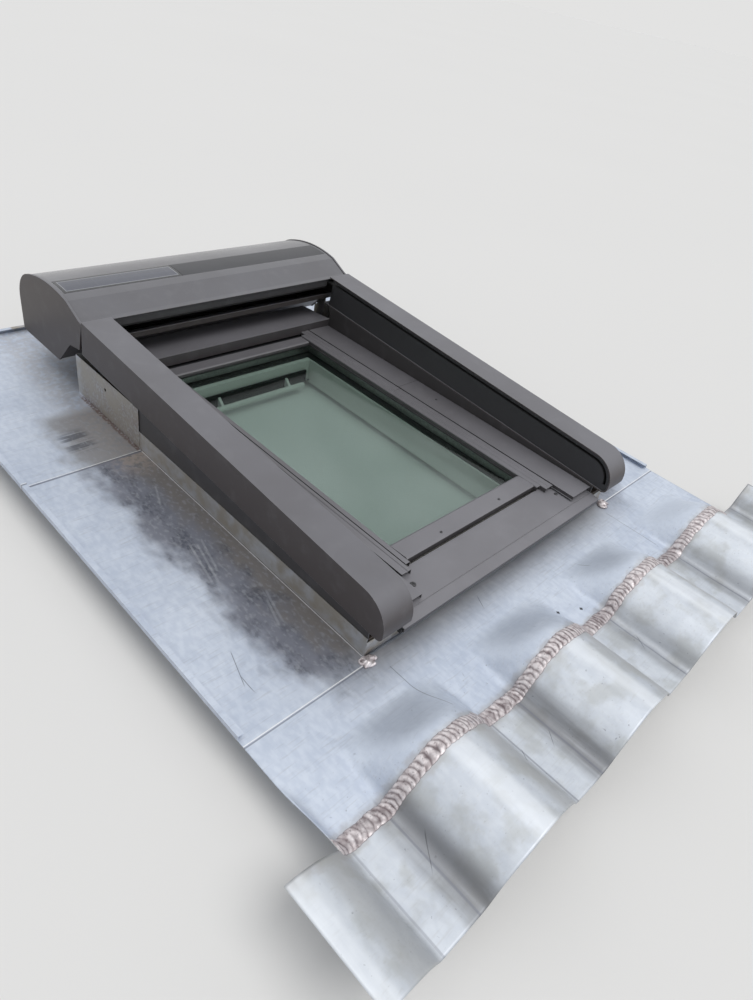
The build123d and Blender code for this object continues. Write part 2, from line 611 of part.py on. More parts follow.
def roll_line():
    """Line of the strip across the roof."""
    tangent, foot = roll_reach()
    near_foot = foot - FOOT_RADIUS * sin(asin((foot - tangent) / FOOT_RADIUS) / 2)
    edges = []
    for crest in crests():

        def at(x):
            return crest + x, roll_height(crest + x)
        edges += [ThreePointArc((crest - foot, 0), at(-near_foot), at(-tangent)),
                  ThreePointArc(at(-tangent), at(0), at(tangent)),
                  ThreePointArc(at(tangent), at(near_foot), (crest + foot, 0)),
                  Line((crest + foot, 0), (crest + ROLL_PITCH - foot, 0))]
    return Wire(edges[:-1])


def dressed_strip():
    """Zinc strip beaten down over the rolls."""
    section = make_face(offset(roll_line(), ZINC, side=Side.LEFT))
    strip = along(section, STRIP_END, STRIP_START)
    return strip & block(-STRIP_HALF, STRIP_HALF, STRIP_END, STRIP_START, -1, ROLL_HEIGHT + 5)


def roll_stations():
    """Positions across the zinc where formed sheets get a section: close together over a roll."""
    foot = roll_reach()[1]
    places = {-ZINC_HALF, ZINC_HALF}
    for crest in crests():
        for share in ROLL_STATIONS:
            places |= {crest - share * foot, crest + share * foot}
    return sorted(x for x in places if abs(x) <= ZINC_HALF)


def apron_section(x):
    """Section of the apron at x: over a roll it rises to the roll's height, a smooth step down the slope."""
    upper, under = [(x, APRON_EDGE, roll_height(x, ZINC))], [(x, APRON_EDGE, roll_height(x))]
    for step in range(BULGE_STEPS + 1):
        share = 1 - step / BULGE_STEPS
        rise = share ** 2 * (3 - 2 * share)
        y = BULGE_END + (BULGE_START - BULGE_END) * share
        upper.append((x, y, ZINC + (roll_height(x, ZINC) - ZINC) * rise))
        under.append((x, y, roll_height(x) * rise))
    return make_face(Polyline(*upper, *reversed(under), close=True))


def solder_section(x):
    """Section of the solder at x: a flat bead over the joint of the apron and the strip."""
    top, under, sheet = roll_height(x, ZINC + SOLDER), roll_height(x), roll_height(x, ZINC)
    points = [(x, SOLDER_LOWER, sheet - SOLDER_BITE), (x, SOLDER_LOWER + SOLDER_EDGE, top),
              (x, SOLDER_UPPER - SOLDER_EDGE, top), (x, SOLDER_UPPER, sheet), (x, APRON_EDGE, sheet),
              (x, APRON_EDGE, under), (x, STRIP_START, under), (x, STRIP_START, sheet - SOLDER_BITE)]
    return make_face(Polyline(*points, close=True))


def solder_seam(strip):
    """Solder between the apron and the dressed strip, and a filled corner at each side of the window."""
    seam = loft([solder_section(x) for x in roll_stations()], ruled=True) - strip
    return Compound([seam, *corner_solder()])


def corner_solder():
    """Solder in the corners where the side upstand, the side sheet and the apron meet."""
    front = FRONT_JOINT - ZINC
    drop = Pos(UPSTAND_HALF, front, ZINC) * scale(Sphere(10), by=(1, 0.9, 0.8))
    drop &= block(0, ZINC_HALF, APRON_EDGE, front, ZINC, UPSTAND)
    drop -= block(UPSTAND_HALF, ZINC_HALF, FRONT_JOINT - LAP, FRONT_JOINT, 0, 2 * ZINC)
    return pair(drop).values()


def rail_top(y):
    """Height of the rail's top edge."""
    return RAIL_TOP_AT_BOX - (BOX_FRONT - y) * tan(radians(RAIL_SLOPE))


def rail_bottom(y):
    """Height of the rail's lower edge."""
    return RAIL_BOTTOM_AT_BOX - (BOX_FRONT_LOW - y) * tan(radians(RAIL_BOTTOM_SLOPE))


def under_rail(start, end, low):
    """Side view of a panel that fills the height under the rail, between two places along it."""
    return outline((start, low), (end, low), (end, rail_bottom(end)), (start, rail_bottom(start)))


def under_top(inset, reach):
    """Side view of everything under the rail's top edge and behind its nose, less the inset."""
    def top(y):
        return y, rail_top(y) - inset / cos(radians(RAIL_SLOPE))
    face = outline(top(BOX_FRONT + reach), top(NOSE + inset), (NOSE + inset, 0), (BOX_FRONT_LOW + reach, 0))
    corner = face.vertices().sort_by(Axis.X)[:2].sort_by(Axis.Y)[-1]
    return fillet(corner, NOSE_RADIUS - inset)


def rail_outline(inset=0.0, reach=-0.5):
    """Side view of a rail, drawn inwards by the inset. It tapers a little towards its round nose."""
    def low(y):
        return y, rail_bottom(y) + inset / cos(radians(RAIL_BOTTOM_SLOPE))
    below = outline(low(NOSE - 50), low(BOX_BACK), (BOX_BACK, -10), (NOSE - 50, -10))
    face = under_top(inset, reach) - below
    chin = face.vertices().sort_by(Axis.X)[:2].sort_by(Axis.Y)[0]
    return fillet(chin, max(CHIN_RADIUS - inset, 1.0))


def inside_of(face, depth):
    """The face made smaller by a depth all round."""
    return offset(face, -depth, kind=Kind.INTERSECTION)


def slot_zone():
    """Part of the side view where the curtain slot runs: under the top edge and round the nose."""
    deep, low = 40.0, RAIL_BOTTOM_AT_BOX * 0.7
    return outline((NOSE - 5, low), (50, low), (90, rail_top(90) - deep),
                   (BOX_BACK, rail_top(BOX_BACK) - deep), (BOX_BACK, BOX_TOP), (NOSE - 5, BOX_TOP))


def rail_band(shallow, deep, reach):
    """Band of the side view between two insets, under the top edge and round the nose."""
    return (under_top(shallow, reach) - under_top(deep, reach + 1)) & slot_zone()


def side_rails():
    """Rail shells open towards the window, with a guide and brushes, and panels below on both sides."""
    shell = across(rail_outline(), RAIL_INNER, RAIL_OUTER)
    shell -= across(rail_outline(RAIL_WALL, 10), 0, RAIL_OUTER - RAIL_WALL)
    deep = SLOT_DEPTH + SLOT_WIDTH
    guide_x = RAIL_INNER + 2.0
    guide = across(rail_outline(RAIL_WALL, -12), guide_x, guide_x + GUIDE_SHEET)
    guide += across(rail_band(SLOT_DEPTH - SLOT_WALL, deep + SLOT_WALL, -12), guide_x, SLOT_END + SLOT_WALL)
    guide -= across(rail_band(SLOT_DEPTH, deep, 10), 0, SLOT_END)
    guide += across(rail_band(deep, deep + SLOT_WALL, TONGUE), guide_x, SLOT_END + SLOT_WALL)
    brush = across(rail_band(SLOT_DEPTH, SLOT_DEPTH + BRUSH, -20), guide_x + 1, guide_x + 9)
    brush += across(rail_band(deep - BRUSH, deep, TONGUE), guide_x + 1, guide_x + 9)
    skirt_x = UPSTAND_HALF - ZINC - 0.4 - SKIRT
    skirt = across(under_rail(NOSE + 28, BACK_JOINT + 12, KERB_TOP - 6), skirt_x, skirt_x + SKIRT)
    inner = across(under_rail(SILL_START, HOOD_FRONT - 1, FRAME_ABOVE_ZINC), RAIL_INNER + 0.2, FRAME_HALF)
    shells, guides = pair(shell), pair(guide)
    return {"rail_left": shells["left"], "rail_right": shells["right"],
            "rail_guide_left": guides["left"], "rail_guide_right": guides["right"],
            "rail_brushes": Compound([piece for side in pair(brush).values() for piece in side.solids()]),
            "rail_skirts": Compound([*pair(skirt).values(), *pair(inner).values()])}


def rail_brackets():
    """Plates that stand on the kerb, three under each rail and one under each end of the casing."""
    x, wide, foot, length = RAIL_INNER + 10, 3.0, 24.0, 34.0
    plates = []
    for share in (0.06, 0.43, 0.82):
        y = SILL_START + share * (BOX_FRONT - SILL_START)
        plates.append(across(under_rail(y, y + length, KERB_TOP), x, x + wide)
                      + block(x, x + foot, y, y + length, KERB_TOP, KERB_TOP + wide))
    y = KERB_END - length
    fall = (BOX_FRONT_LOW_Z - BOX_NOTCH_TOP[1]) / (BOX_NOTCH_TOP[0] - BOX_FRONT_LOW)
    floor = BOX_FRONT_LOW_Z + CAP_PROUD - fall * (KERB_END - BOX_FRONT_LOW)
    plates.append(across(outline((y + 8, KERB_TOP), (KERB_END, KERB_TOP), (KERB_END, floor),
                                 (y + 8, floor + fall * (length - 8))), x, x + wide)
                  + block(x, x + foot, y + 8, KERB_END, KERB_TOP, KERB_TOP + wide))
    return Compound([plate for shape in plates for plate in pair(shape).values()])


def casing_outline():
    """Side view of the casing: sloping front, low crown, round back and a step over the hood."""
    slope = asin((BOX_CROWN_END - BOX_CREST) / BOX_CROWN_RADIUS)
    crown = BOX_TOP - BOX_CROWN_RADIUS

    def on_crown(y):
        return y, crown + sqrt(BOX_CROWN_RADIUS ** 2 - (y - BOX_CREST) ** 2)
    front, shoulder = on_crown(BOX_CROWN_START), on_crown(BOX_CROWN_END)
    edges = [Line((BOX_FRONT, BOX_LIP_Z), BOX_BEND), Line(BOX_BEND, front),
             ThreePointArc(front, (BOX_CREST, BOX_TOP), shoulder),
             TangentArc(shoulder, (BOX_BACK, BOX_BACK_SHOULDER), tangent=(cos(slope), -sin(slope))),
             Line((BOX_BACK, BOX_BACK_SHOULDER), (BOX_BACK, BOX_BOTTOM)),
             Line((BOX_BACK, BOX_BOTTOM), BOX_NOTCH_LOW), Line(BOX_NOTCH_LOW, BOX_NOTCH_TOP),
             Line(BOX_NOTCH_TOP, (BOX_FRONT_LOW, BOX_FRONT_LOW_Z)),
             Line((BOX_FRONT_LOW, BOX_FRONT_LOW_Z), (BOX_FRONT, BOX_LIP_Z))]
    face = make_face(edges)
    corner = face.vertices().group_by(Axis.Y)[0].sort_by(Axis.X)[-1]
    return fillet(corner, 8)


def casing():
    """Curved cover with the panel let into it, floor, and an end cap on each side."""
    side = casing_outline()
    wall = inside_of(side, CAP_PROUD) - inside_of(side, CAP_PROUD + CASING_SHEET)
    before, behind, over, below = BOX_FRONT - 15, BOX_BACK + 23, BOX_TOP + 25, BOX_BOTTOM - 24
    seam, mouth = BOX_BOTTOM + 16, BOX_FRONT_LOW_Z + 14
    upper = outline((before, LIP_DEPTH), (BOX_FRONT + 45, LIP_DEPTH), (BOX_BACK - 17, seam), (behind, seam),
                    (behind, over), (before, over))
    lower = outline((before, mouth), (BOX_FRONT + 45, mouth), (BOX_BACK - 27, seam - SEAT_GAP * 2),
                    (behind, seam - SEAT_GAP * 2), (behind, below), (before, below))
    cover = across(wall & upper, -COVER_X, COVER_X)
    window = outline((PANEL_START, LIP_DEPTH), (PANEL_END, LIP_DEPTH), (PANEL_END, over), (PANEL_START, over))
    skin = (inside_of(side, CAP_PROUD - 0.1) - inside_of(side, CAP_PROUD + PANEL_RECESS)) & window
    cover -= across(skin, -COVER_X + 6, COVER_X - 6)
    start, end = PANEL_START + 2 * SEAT_GAP, PANEL_END - 2 * SEAT_GAP
    inlay = inside_of(side, CAP_PROUD) - inside_of(side, CAP_PROUD + PANEL_RECESS - SEAT_GAP)
    inlay &= outline((start, LIP_DEPTH), (end, LIP_DEPTH), (end, over), (start, over))
    rim = inside_of(side, CAP_PROUD + CASING_SHEET + 0.2)
    rim -= inside_of(side, CAP_PROUD + CASING_SHEET + 0.2 + CAP_RIM)
    cap = across(side, CAP_INNER, RAIL_OUTER)
    rim &= outline((BOX_CROWN_START, below), (behind, below), (behind, over), (BOX_CROWN_START, over))
    cap += across(rim, CAP_INNER - CAP_RIM_DEPTH, CAP_INNER)
    caps = pair(cap)
    return {
        "casing_cover": cover,
        "casing_floor": across(wall & lower, -COVER_X, COVER_X),
        "solar_panel": across(inlay, -COVER_X + 6.5, PANEL_SPLIT),
        "cover_strip": across(inlay, PANEL_SPLIT + 1, COVER_X - 6.5),
        "end_cap_left": caps["left"],
        "end_cap_right": caps["right"],
    }


def roller():
    """Tube with the curtain wound on it. The turns are flat slats, so the roll has many sides."""
    tube = rod(TUBE_RADIUS, 2 * TUBE_HALF, (0, ROLLER_Y, ROLLER_Z), "X")
    tube -= rod(TUBE_RADIUS - TUBE_WALL, 2 * TUBE_HALF + 2, (0, ROLLER_Y, ROLLER_Z), "X")
    turns = RegularPolygon(ROLL_OUTER, SLAT_COUNT) - Circle(TUBE_RADIUS + SEAT_GAP)
    plane = Plane(origin=(-ROLL_HALF, ROLLER_Y, ROLLER_Z), x_dir=(0, 1, 0), z_dir=(1, 0, 0))
    return {"roller_tube": tube, "curtain_roll": extrude(plane * turns, 2 * ROLL_HALF, dir=(1, 0, 0))}


def roller_fixings():
    """Bearing on each end cap, the motor inside the tube, and the battery on the floor."""
    bore = TUBE_RADIUS - TUBE_WALL
    plate = rod(TUBE_RADIUS + 14, 6, (CAP_INNER - 3, ROLLER_Y, ROLLER_Z), "X")
    spigot = rod(bore - FIT, 30, (CAP_INNER - 15, ROLLER_Y, ROLLER_Z), "X")
    bearings = pair(plate + spigot)
    end = CAP_INNER - 30
    motor = rod(bore - 1.5, MOTOR_LENGTH, (end - MOTOR_LENGTH / 2, ROLLER_Y, ROLLER_Z), "X")
    shelf = BOX_BOTTOM + CAP_PROUD + CASING_SHEET
    length, width, height = BATTERY
    left, back = -TUBE_HALF + 14, BOX_BACK - 13
    battery = block(left, left + length, back - width, back, shelf, shelf + height)
    battery = fillet(battery.edges().filter_by(Axis.X), height / 6)
    return {"roller_bearings": Compound(list(bearings.values())), "tube_motor": motor,
            "battery_pack": battery}


def bottom_bar():
    """Hollow end slat of the curtain with a runner in each rail, and its rubber seal."""
    slope = RAIL_SLOPE
    depth = SLOT_DEPTH + SLOT_WIDTH / 2
    tilt = Location((0, BAR_START, rail_top(BAR_START) - depth), (slope, 0, 0))
    half_height = RUNNER_HEIGHT / 2
    body = block(-BAR_HALF, BAR_HALF, 0, BAR_LENGTH, half_height - BAR_HEIGHT, half_height)
    body = fillet(body.edges().filter_by(Axis.X), 1.8)
    body -= block(-BAR_HALF + 3, BAR_HALF - 3, 4, BAR_LENGTH - 4, half_height - BAR_HEIGHT - 1, -half_height)
    body += block(-RUNNER_HALF, RUNNER_HALF, 4, BAR_LENGTH - 4, -half_height, half_height)
    seal = block(-BAR_HALF, BAR_HALF, 3, 7, half_height - BAR_HEIGHT - SEAL_HEIGHT, half_height - BAR_HEIGHT)
    seal += block(-BAR_HALF + 4, BAR_HALF - 4, 4, 6, half_height - BAR_HEIGHT, half_height - BAR_HEIGHT + 3)
    return {"bottom_bar": tilt * body, "bar_seal": tilt * seal}


def screws():
    """Visible screws, grouped by the body that they sit on. Each stands on the highest point under it."""
    fixed = [screw_head(x, y, plate_top(y + radius), radius) for x, y, radius in PLATE_SCREWS]
    y, radius = SASH_START + 4, SASH_SCREW
    foot = sash_cover_top(y - radius)
    moving = [screw_head(x, y, foot, radius, 1.2) for x in (-SASH_SCREW_X, SASH_SCREW_X)]
    side, y = (COVER_GROOVE + GROOVE_WIDTH + COVER_HALF) / 2 + 4, PIVOT_Y - 72
    moving += [screw_head(x, y, COVER_TOP, radius, 1.2) for x in (-side, side)]
    return {"frame_screws": Compound(fixed), "sash_screws": Compound(moving)}


def build():
    """All pieces by name."""
    pieces = {}
    for group in (window_frame(), kerb(), sash_timber(), vent_flap(), control_bar(), sealed_glass(),
                  sash_covers(), side_covers(), frame_covers(), pivot_hinges(), frame_gasket(),
                  lip_blocks(), zinc_sheets(), side_rails(), casing(), roller(), roller_fixings(),
                  bottom_bar(), screws()):
        pieces.update(group)
    pieces["mounting_brackets"] = mounting_brackets()
    pieces["flap_ears"] = flap_ears()
    pieces["dressed_strip"] = dressed_strip()
    pieces["solder_seam"] = solder_seam(pieces["dressed_strip"])
    pieces["rail_brackets"] = rail_brackets()
    return pieces


os.makedirs("parts", exist_ok=True)
for node, shape in build().items():
    export_step(TO_ORIGIN * shape, f"parts/{node}.step")
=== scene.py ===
"""Roof window with its zinc flashing and an outside roller shutter, dressed for the camera.

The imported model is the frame: every piece made here is in metres in its axes. X runs across the
window, Y up the roof slope and Z out of the roof. Sizes in the code are in millimetres, with Y
counted from the lower lip of the window and Z from the underside of the zinc.
"""

from __future__ import annotations

import logging
import math
from dataclasses import dataclass, field, replace
from enum import Enum
from typing import Any, Callable, Iterable, Mapping, Optional, Sequence, Union

import bmesh
import bpy
import numpy as np
from mathutils import Matrix, Vector


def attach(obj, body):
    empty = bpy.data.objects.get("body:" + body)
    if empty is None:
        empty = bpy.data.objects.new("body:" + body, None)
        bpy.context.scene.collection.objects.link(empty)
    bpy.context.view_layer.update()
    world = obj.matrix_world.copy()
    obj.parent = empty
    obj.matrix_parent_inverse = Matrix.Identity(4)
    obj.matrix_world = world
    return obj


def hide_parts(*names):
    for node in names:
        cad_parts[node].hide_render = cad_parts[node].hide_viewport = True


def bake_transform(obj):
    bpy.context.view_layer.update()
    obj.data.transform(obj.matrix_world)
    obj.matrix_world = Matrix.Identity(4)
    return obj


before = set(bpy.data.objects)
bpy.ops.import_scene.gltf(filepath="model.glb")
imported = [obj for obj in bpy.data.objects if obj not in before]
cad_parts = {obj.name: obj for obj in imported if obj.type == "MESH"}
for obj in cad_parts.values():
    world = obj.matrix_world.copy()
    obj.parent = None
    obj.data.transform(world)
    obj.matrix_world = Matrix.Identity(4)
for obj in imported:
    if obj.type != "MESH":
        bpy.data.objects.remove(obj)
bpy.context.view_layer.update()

LOG = logging.getLogger("roof_window")
Array = np.ndarray
Material = bpy.types.Material
Socket = bpy.types.NodeSocket
Pair = tuple[float, float]
Point = tuple[float, float, float]
Colour = tuple[float, float, float]
Tint = Union[Colour, Socket]
Operand = Union["Value", float, int]
Line = tuple[float, float, float, float, float]
Settings = Mapping[str, Any]
Inputs = Mapping[Union[str, int], Any]

# Settings or inputs of a node that keeps Blender's own.
EMPTY: Mapping[Any, Any] = {}

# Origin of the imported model, in the millimetres of this file.
ORIGIN = (0.0, 417.5, -45.0)
MM_PER_M = 1000.0
# Thickness of the zinc sheets.
ZINC = 0.8
# Cells along a side of the lattice of random heights.
LATTICE = 256


class Way(Enum):
    """Direction in which a pattern runs, as the share of its size along X, Y and Z."""

    EVEN = (1.0, 1.0, 1.0)
    ACROSS = (0.08, 1.0, 1.0)
    UPHILL = (1.0, 0.08, 1.0)
    SMEARED = (0.75, 0.4, 1.0)


def _operator(operation: str, reflected: bool = False) -> Callable[[Value, Operand], Value]:
    """Makes a method that adds one Math node.

    Args:
        operation: Blender's name of the operation.
        reflected: Whether the other operand stands in front.

    Returns:
        The method.
    """

    def method(self: Value, other: Operand) -> Value:
        """Adds the node and returns its result."""
        pair = (other, self) if reflected else (self, other)
        return self.tree.value("ShaderNodeMath", {"operation": operation}, dict(enumerate(pair)))

    return method


class Value:
    """Number that may change over a surface. Plain expressions on it add the Math nodes.

    Of two values, top is the larger and low the smaller one. The rest after division by a pitch,
    from 0 to the pitch, is repeat.

    Attributes:
        tree: Node tree that it belongs to.
        socket: Output socket that gives it.
    """

    __add__ = __radd__ = _operator("ADD")
    __sub__ = _operator("SUBTRACT")
    __rsub__ = _operator("SUBTRACT", reflected=True)
    __mul__ = __rmul__ = _operator("MULTIPLY")
    __pow__ = _operator("POWER")
    top = _operator("MAXIMUM")
    low = _operator("MINIMUM")
    repeat = _operator("FLOORED_MODULO")

    def __init__(self, tree: Tree, socket: Socket) -> None:
        """Wraps one output socket of a node tree."""
        self.tree = tree
        self.socket = socket

    def size(self) -> Value:
        """Value without its sign."""
        return self.tree.value("ShaderNodeMath", {"operation": "ABSOLUTE"}, {0: self})

    def ramp(self, start: float, end: float, low: float = 0.0, high: float = 1.0) -> Value:
        """Smooth step between two values.

        Args:
            start: Value at which the step begins.
            end: Value at which it is over. It may be below start.
            low: Result before the step.
            high: Result after it.

        Returns:
            The stepped value.
        """
        settings = {"interpolation_type": "SMOOTHSTEP"}
        inputs = {"Value": self, "From Min": start, "From Max": end, "To Min": low, "To Max": high}
        return self.tree.value("ShaderNodeMapRange", settings, inputs, "Result")

    def near(self, middle: float, reach: float) -> Value:
        """1 where the value is the middle, falling to 0 at the reach on both sides."""
        return (self - middle).size().ramp(reach, reach * 0.4)

    @staticmethod
    def total(values: Iterable[Value]) -> Value:
        """Sum of several values."""
        first, *rest = values
        return sum(rest, first)


class Tree:
    """Node tree of a material or of the world."""

    def __init__(self, owner: Union[Material, bpy.types.World]) -> None:
        """Empties the owner's node tree."""
        owner.use_nodes = True
        self.tree = owner.node_tree
        self.tree.nodes.clear()

    def node(self, kind: str, settings: Settings = EMPTY, inputs: Inputs = EMPTY) -> bpy.types.Node:
        """Adds any node.

        Args:
            kind: Blender's type name of the node.
            settings: Attributes that are set before its sockets.
            inputs: Value or link of each socket that isn't left as it is.

        Returns:
            The new node.
        """
        node = self.tree.nodes.new(kind)
        for name, setting in settings.items():
            setattr(node, name, setting)
        for name, given in inputs.items():
            socket = node.inputs[name]
            if isinstance(given, Value):
                given = given.socket
            if isinstance(given, Socket):
                self.tree.links.new(given, socket)
            elif isinstance(given, tuple) and socket.type == "RGBA":
                socket.default_value = (*given[:3], 1.0)
            else:
                socket.default_value = given
        return node

    def value(self, kind: str, settings: Settings, inputs: Inputs, output: Union[str, int] = 0) -> Value:
        """Adds a node, and returns its output of that name or number as a value."""
        return Value(self, self.node(kind, settings, inputs).outputs[output])

    def mix(self, share: Operand, first: Tint, second: Tint) -> Socket:
        """Colour between two colours.

        Args:
            share: 0 gives the first colour and 1 the second.
            first: Colour or colour socket.
            second: Colour or colour socket.

        Returns:
            Socket of the mixed colour.
        """
        node = self.node("ShaderNodeMix", {"data_type": "RGBA"}, {0: share, 6: first, 7: second})
        return node.outputs[2]


class Recipe(Tree):
    """Node tree of one finish, with the few steps that the finishes are made of.

    Attributes:
        material: The material.
        colour: Its colour so far.
    """

    def __init__(self, name: str) -> None:
        """Starts an empty material with that name."""
        self.material = bpy.data.materials.new(name)
        super().__init__(self.material)
        self.colour: Tint = (1.0, 1.0, 1.0)
        self._place: Optional[Socket] = None

    def place(self) -> Socket:
        """Position on the part in millimetres.

        Returns:
            Socket of the vector.
        """
        if self._place is None:
            where = self.node("ShaderNodeTexCoord").outputs["Object"]
            scaled = self.node("ShaderNodeVectorMath", {"operation": "SCALE"}, {0: where, "Scale": MM_PER_M})
            shift = {0: scaled.outputs[0], 1: ORIGIN}
            self._place = self.node("ShaderNodeVectorMath", {"operation": "ADD"}, shift).outputs[0]
        return self._place

    def _parts(self, vector: Socket) -> tuple[Value, Value, Value]:
        """The three parts of a vector."""
        node = self.node("ShaderNodeSeparateXYZ", {}, {0: vector})
        return tuple(Value(self, socket) for socket in node.outputs)

    def axes(self) -> tuple[Value, Value, Value]:
        """Position on the part in millimetres, as three values."""
        return self._parts(self.place())

    def facing(self) -> tuple[Value, Value, Value]:
        """Direction that the surface looks in, in the piece's own axes.

        Returns:
            Its X, Y and Z.
        """
        normal = self.node("ShaderNodeNewGeometry").outputs["Normal"]
        settings = {"vector_type": "NORMAL", "convert_from": "WORLD", "convert_to": "OBJECT"}
        return self._parts(self.node("ShaderNodeVectorTransform", settings, {0: normal}).outputs[0])

    def cloud(self, size_mm: float, detail: float = 3.0, offset: float = 0.0, way: Way = Way.EVEN) -> Value:
        """Soft random pattern from 0 to 1.

        Args:
            size_mm: Size of its largest spots.
            detail: How many finer layers it has.
            offset: Another number gives another pattern of the same kind.
            way: Direction in which the spots are drawn out.

        Returns:
            The pattern.
        """
        stretch = tuple(share / size_mm for share in way.value)
        inputs = {"Vector": self.place(), "Location": (offset, offset * 0.7, 0.0), "Scale": stretch}
        mapped = self.node("ShaderNodeMapping", {"vector_type": "POINT"}, inputs)
        inputs = {"Vector": mapped.outputs[0], "Scale": 1.0, "Detail": detail}
        return self.value("ShaderNodeTexNoise", {}, inputs)

    def coat(self, share: Operand, tint: Tint) -> None:
        """Lays another colour over a share, from 0 to 1, of the colour so far."""
        self.colour = self.mix(share, self.colour, tint)

    def attribute(self, name: str) -> Value:
        """Value that the piece's mesh carries at each point."""
        return self.value("ShaderNodeAttribute", {"attribute_name": name}, {}, "Fac")

    def relief(self, height: Value, depth_mm: float, under: Optional[Socket] = None) -> Socket:
        """Bumps.

        Args:
            height: Height from 0 to 1.
            depth_mm: How deep that is.
            under: Normal that the bumps stand on, if not the plain one.

        Returns:
            Socket of the bumpy normal.
        """
        inputs = {"Height": height, "Distance": depth_mm / MM_PER_M, "Strength": 1.0}
        if under is not None:
            inputs["Normal"] = under
        return self.node("ShaderNodeBump", {}, inputs).outputs[0]

    def soft_edges(self, radius_mm: float) -> Socket:
        """Normal that turns the corners of a piece as if they had a small radius."""
        return self.node("ShaderNodeBevel", {"samples": 4}, {"Radius": radius_mm / MM_PER_M}).outputs[0]

    def edge(self, rounded: Socket) -> Value:
        """Mask of the corners of a piece, from how far the rounded normal leaves the plain one.

        Args:
            rounded: Normal with soft edges.

        Returns:
            1 along the corners, 0 elsewhere.
        """
        plain = self.node("ShaderNodeNewGeometry").outputs["Normal"]
        settings = {"operation": "DOT_PRODUCT"}
        return self.value("ShaderNodeVectorMath", settings, {0: rounded, 1: plain}, "Value").ramp(0.985, 0.80)

    def principled(self, **inputs: Any) -> Socket:
        """Main shader. Keyword names are its socket names with underscores for spaces."""
        named = {name.replace("_", " "): given for name, given in inputs.items()}
        return self.node("ShaderNodeBsdfPrincipled", {}, named).outputs[0]

    def painted(self, **inputs: Any) -> None:
        """Finishes the material with the main shader in the colour so far."""
        self.finish(self.principled(Base_Color=self.colour, **inputs))

    def finish(self, shader: Socket) -> None:
        """Joins the shader to the output."""
        self.node("ShaderNodeOutputMaterial", {}, {"Surface": shader})


@dataclass(frozen=True)
class Finish:
    """Look of some pieces, made from numbers alone.

    Attributes:
        name: Name of the material.
    """

    name: str

    def build(self) -> Material:
        """Makes the material.

        Returns:
            The finished material.
        """
        r = Recipe(self.name)
        self.paint(r)
        return r.material

    def paint(self, r: Recipe) -> None:
        """Works out the look with the recipe r. Each kind of finish has its own."""
        raise NotImplementedError


@dataclass(frozen=True)
class SatinPaint(Finish):
    """Satin paint on folded or cast aluminium, with a fine texture, pale dust and a painted sky sheen on top,
    and a painted highlight along the edges.

    Attributes:
        colour: Colour of clean paint.
        dust_and_painted_sheen: Colour of upward faces under their film of dust and painted sky sheen.
        film: How much of that film there is, from 0 to 1.
        gloss: Roughness of clean paint.
        edge_mm: Radius that catches light along the corners.
        speck_and_painted_edge_highlight: Colour of the corners.
        coat: Weight of the clear coat on upward faces.
        joints: Whether the mesh marks its joints, which are darker.
        joint: Colour of those joints.
        uphill_shade: How much of the film fades uphill of the lowest covers, as painted shade that makes them
            darker towards the top.
        uphill_shade_over: Y where that begins, and where it is full.
    """

    colour: Colour = (0.060, 0.050, 0.048)
    dust_and_painted_sheen: Colour = (0.158, 0.157, 0.174)
    film: float = 1.0
    # edge_mm: Radius of the rounded corners, and width of the painted highlight along them.
    gloss: float = 0.42
    edge_mm: float = 1.0
    # speck_and_painted_edge_highlight: Colour of the painted highlight along the corners, and of pale specks.
    speck_and_painted_edge_highlight: Colour = (0.36, 0.36, 0.38)
    coat: float = 0.3
    joints: bool = False
    joint: Colour = (0.012, 0.012, 0.013)
    uphill_shade: float = 0.0
    uphill_shade_over: Pair = (-20.0, 420.0)

    def paint(self, r: Recipe) -> None:
        """Works out the look.

        Args:
            r: Recipe of the finish.
        """
        rounded = r.soft_edges(self.edge_mm)
        broad = r.cloud(170.0, 4.0)
        spots = r.cloud(30.0, 6.0, 31.0)
        fine = r.cloud(1.0, 2.0)
        # Upward faces get pale dust and a painted sky sheen, which make the tops lighter and bluer.
        film = r.facing()[2].ramp(0.1, 0.95) * broad.ramp(0.25, 0.7, 0.75, 1.0) * self.film
        # Painted shade: the film fades uphill, so the covers get darker towards the top.
        if self.uphill_shade:
            film = film * r.axes()[1].ramp(*self.uphill_shade_over, 1.0, 1.0 - self.uphill_shade)
        r.colour = r.mix(film, self.colour, self.dust_and_painted_sheen)
        r.coat(spots.ramp(0.50, 0.74) * 0.05, self.speck_and_painted_edge_highlight)
        # Painted highlight along the corners.
        r.coat(r.edge(rounded) * 0.5, self.speck_and_painted_edge_highlight)
        if self.joints:
            r.coat(r.attribute("shade") * 0.8, self.joint)
        rough = self.gloss + film * 0.12 + fine * 0.06
        normal = r.relief(fine, 0.010, rounded)
        coat = {"Coat_Weight": film * self.coat, "Coat_Roughness": 0.20, "Specular_IOR_Level": 0.4}
        r.painted(Roughness=rough, Normal=normal, **coat)


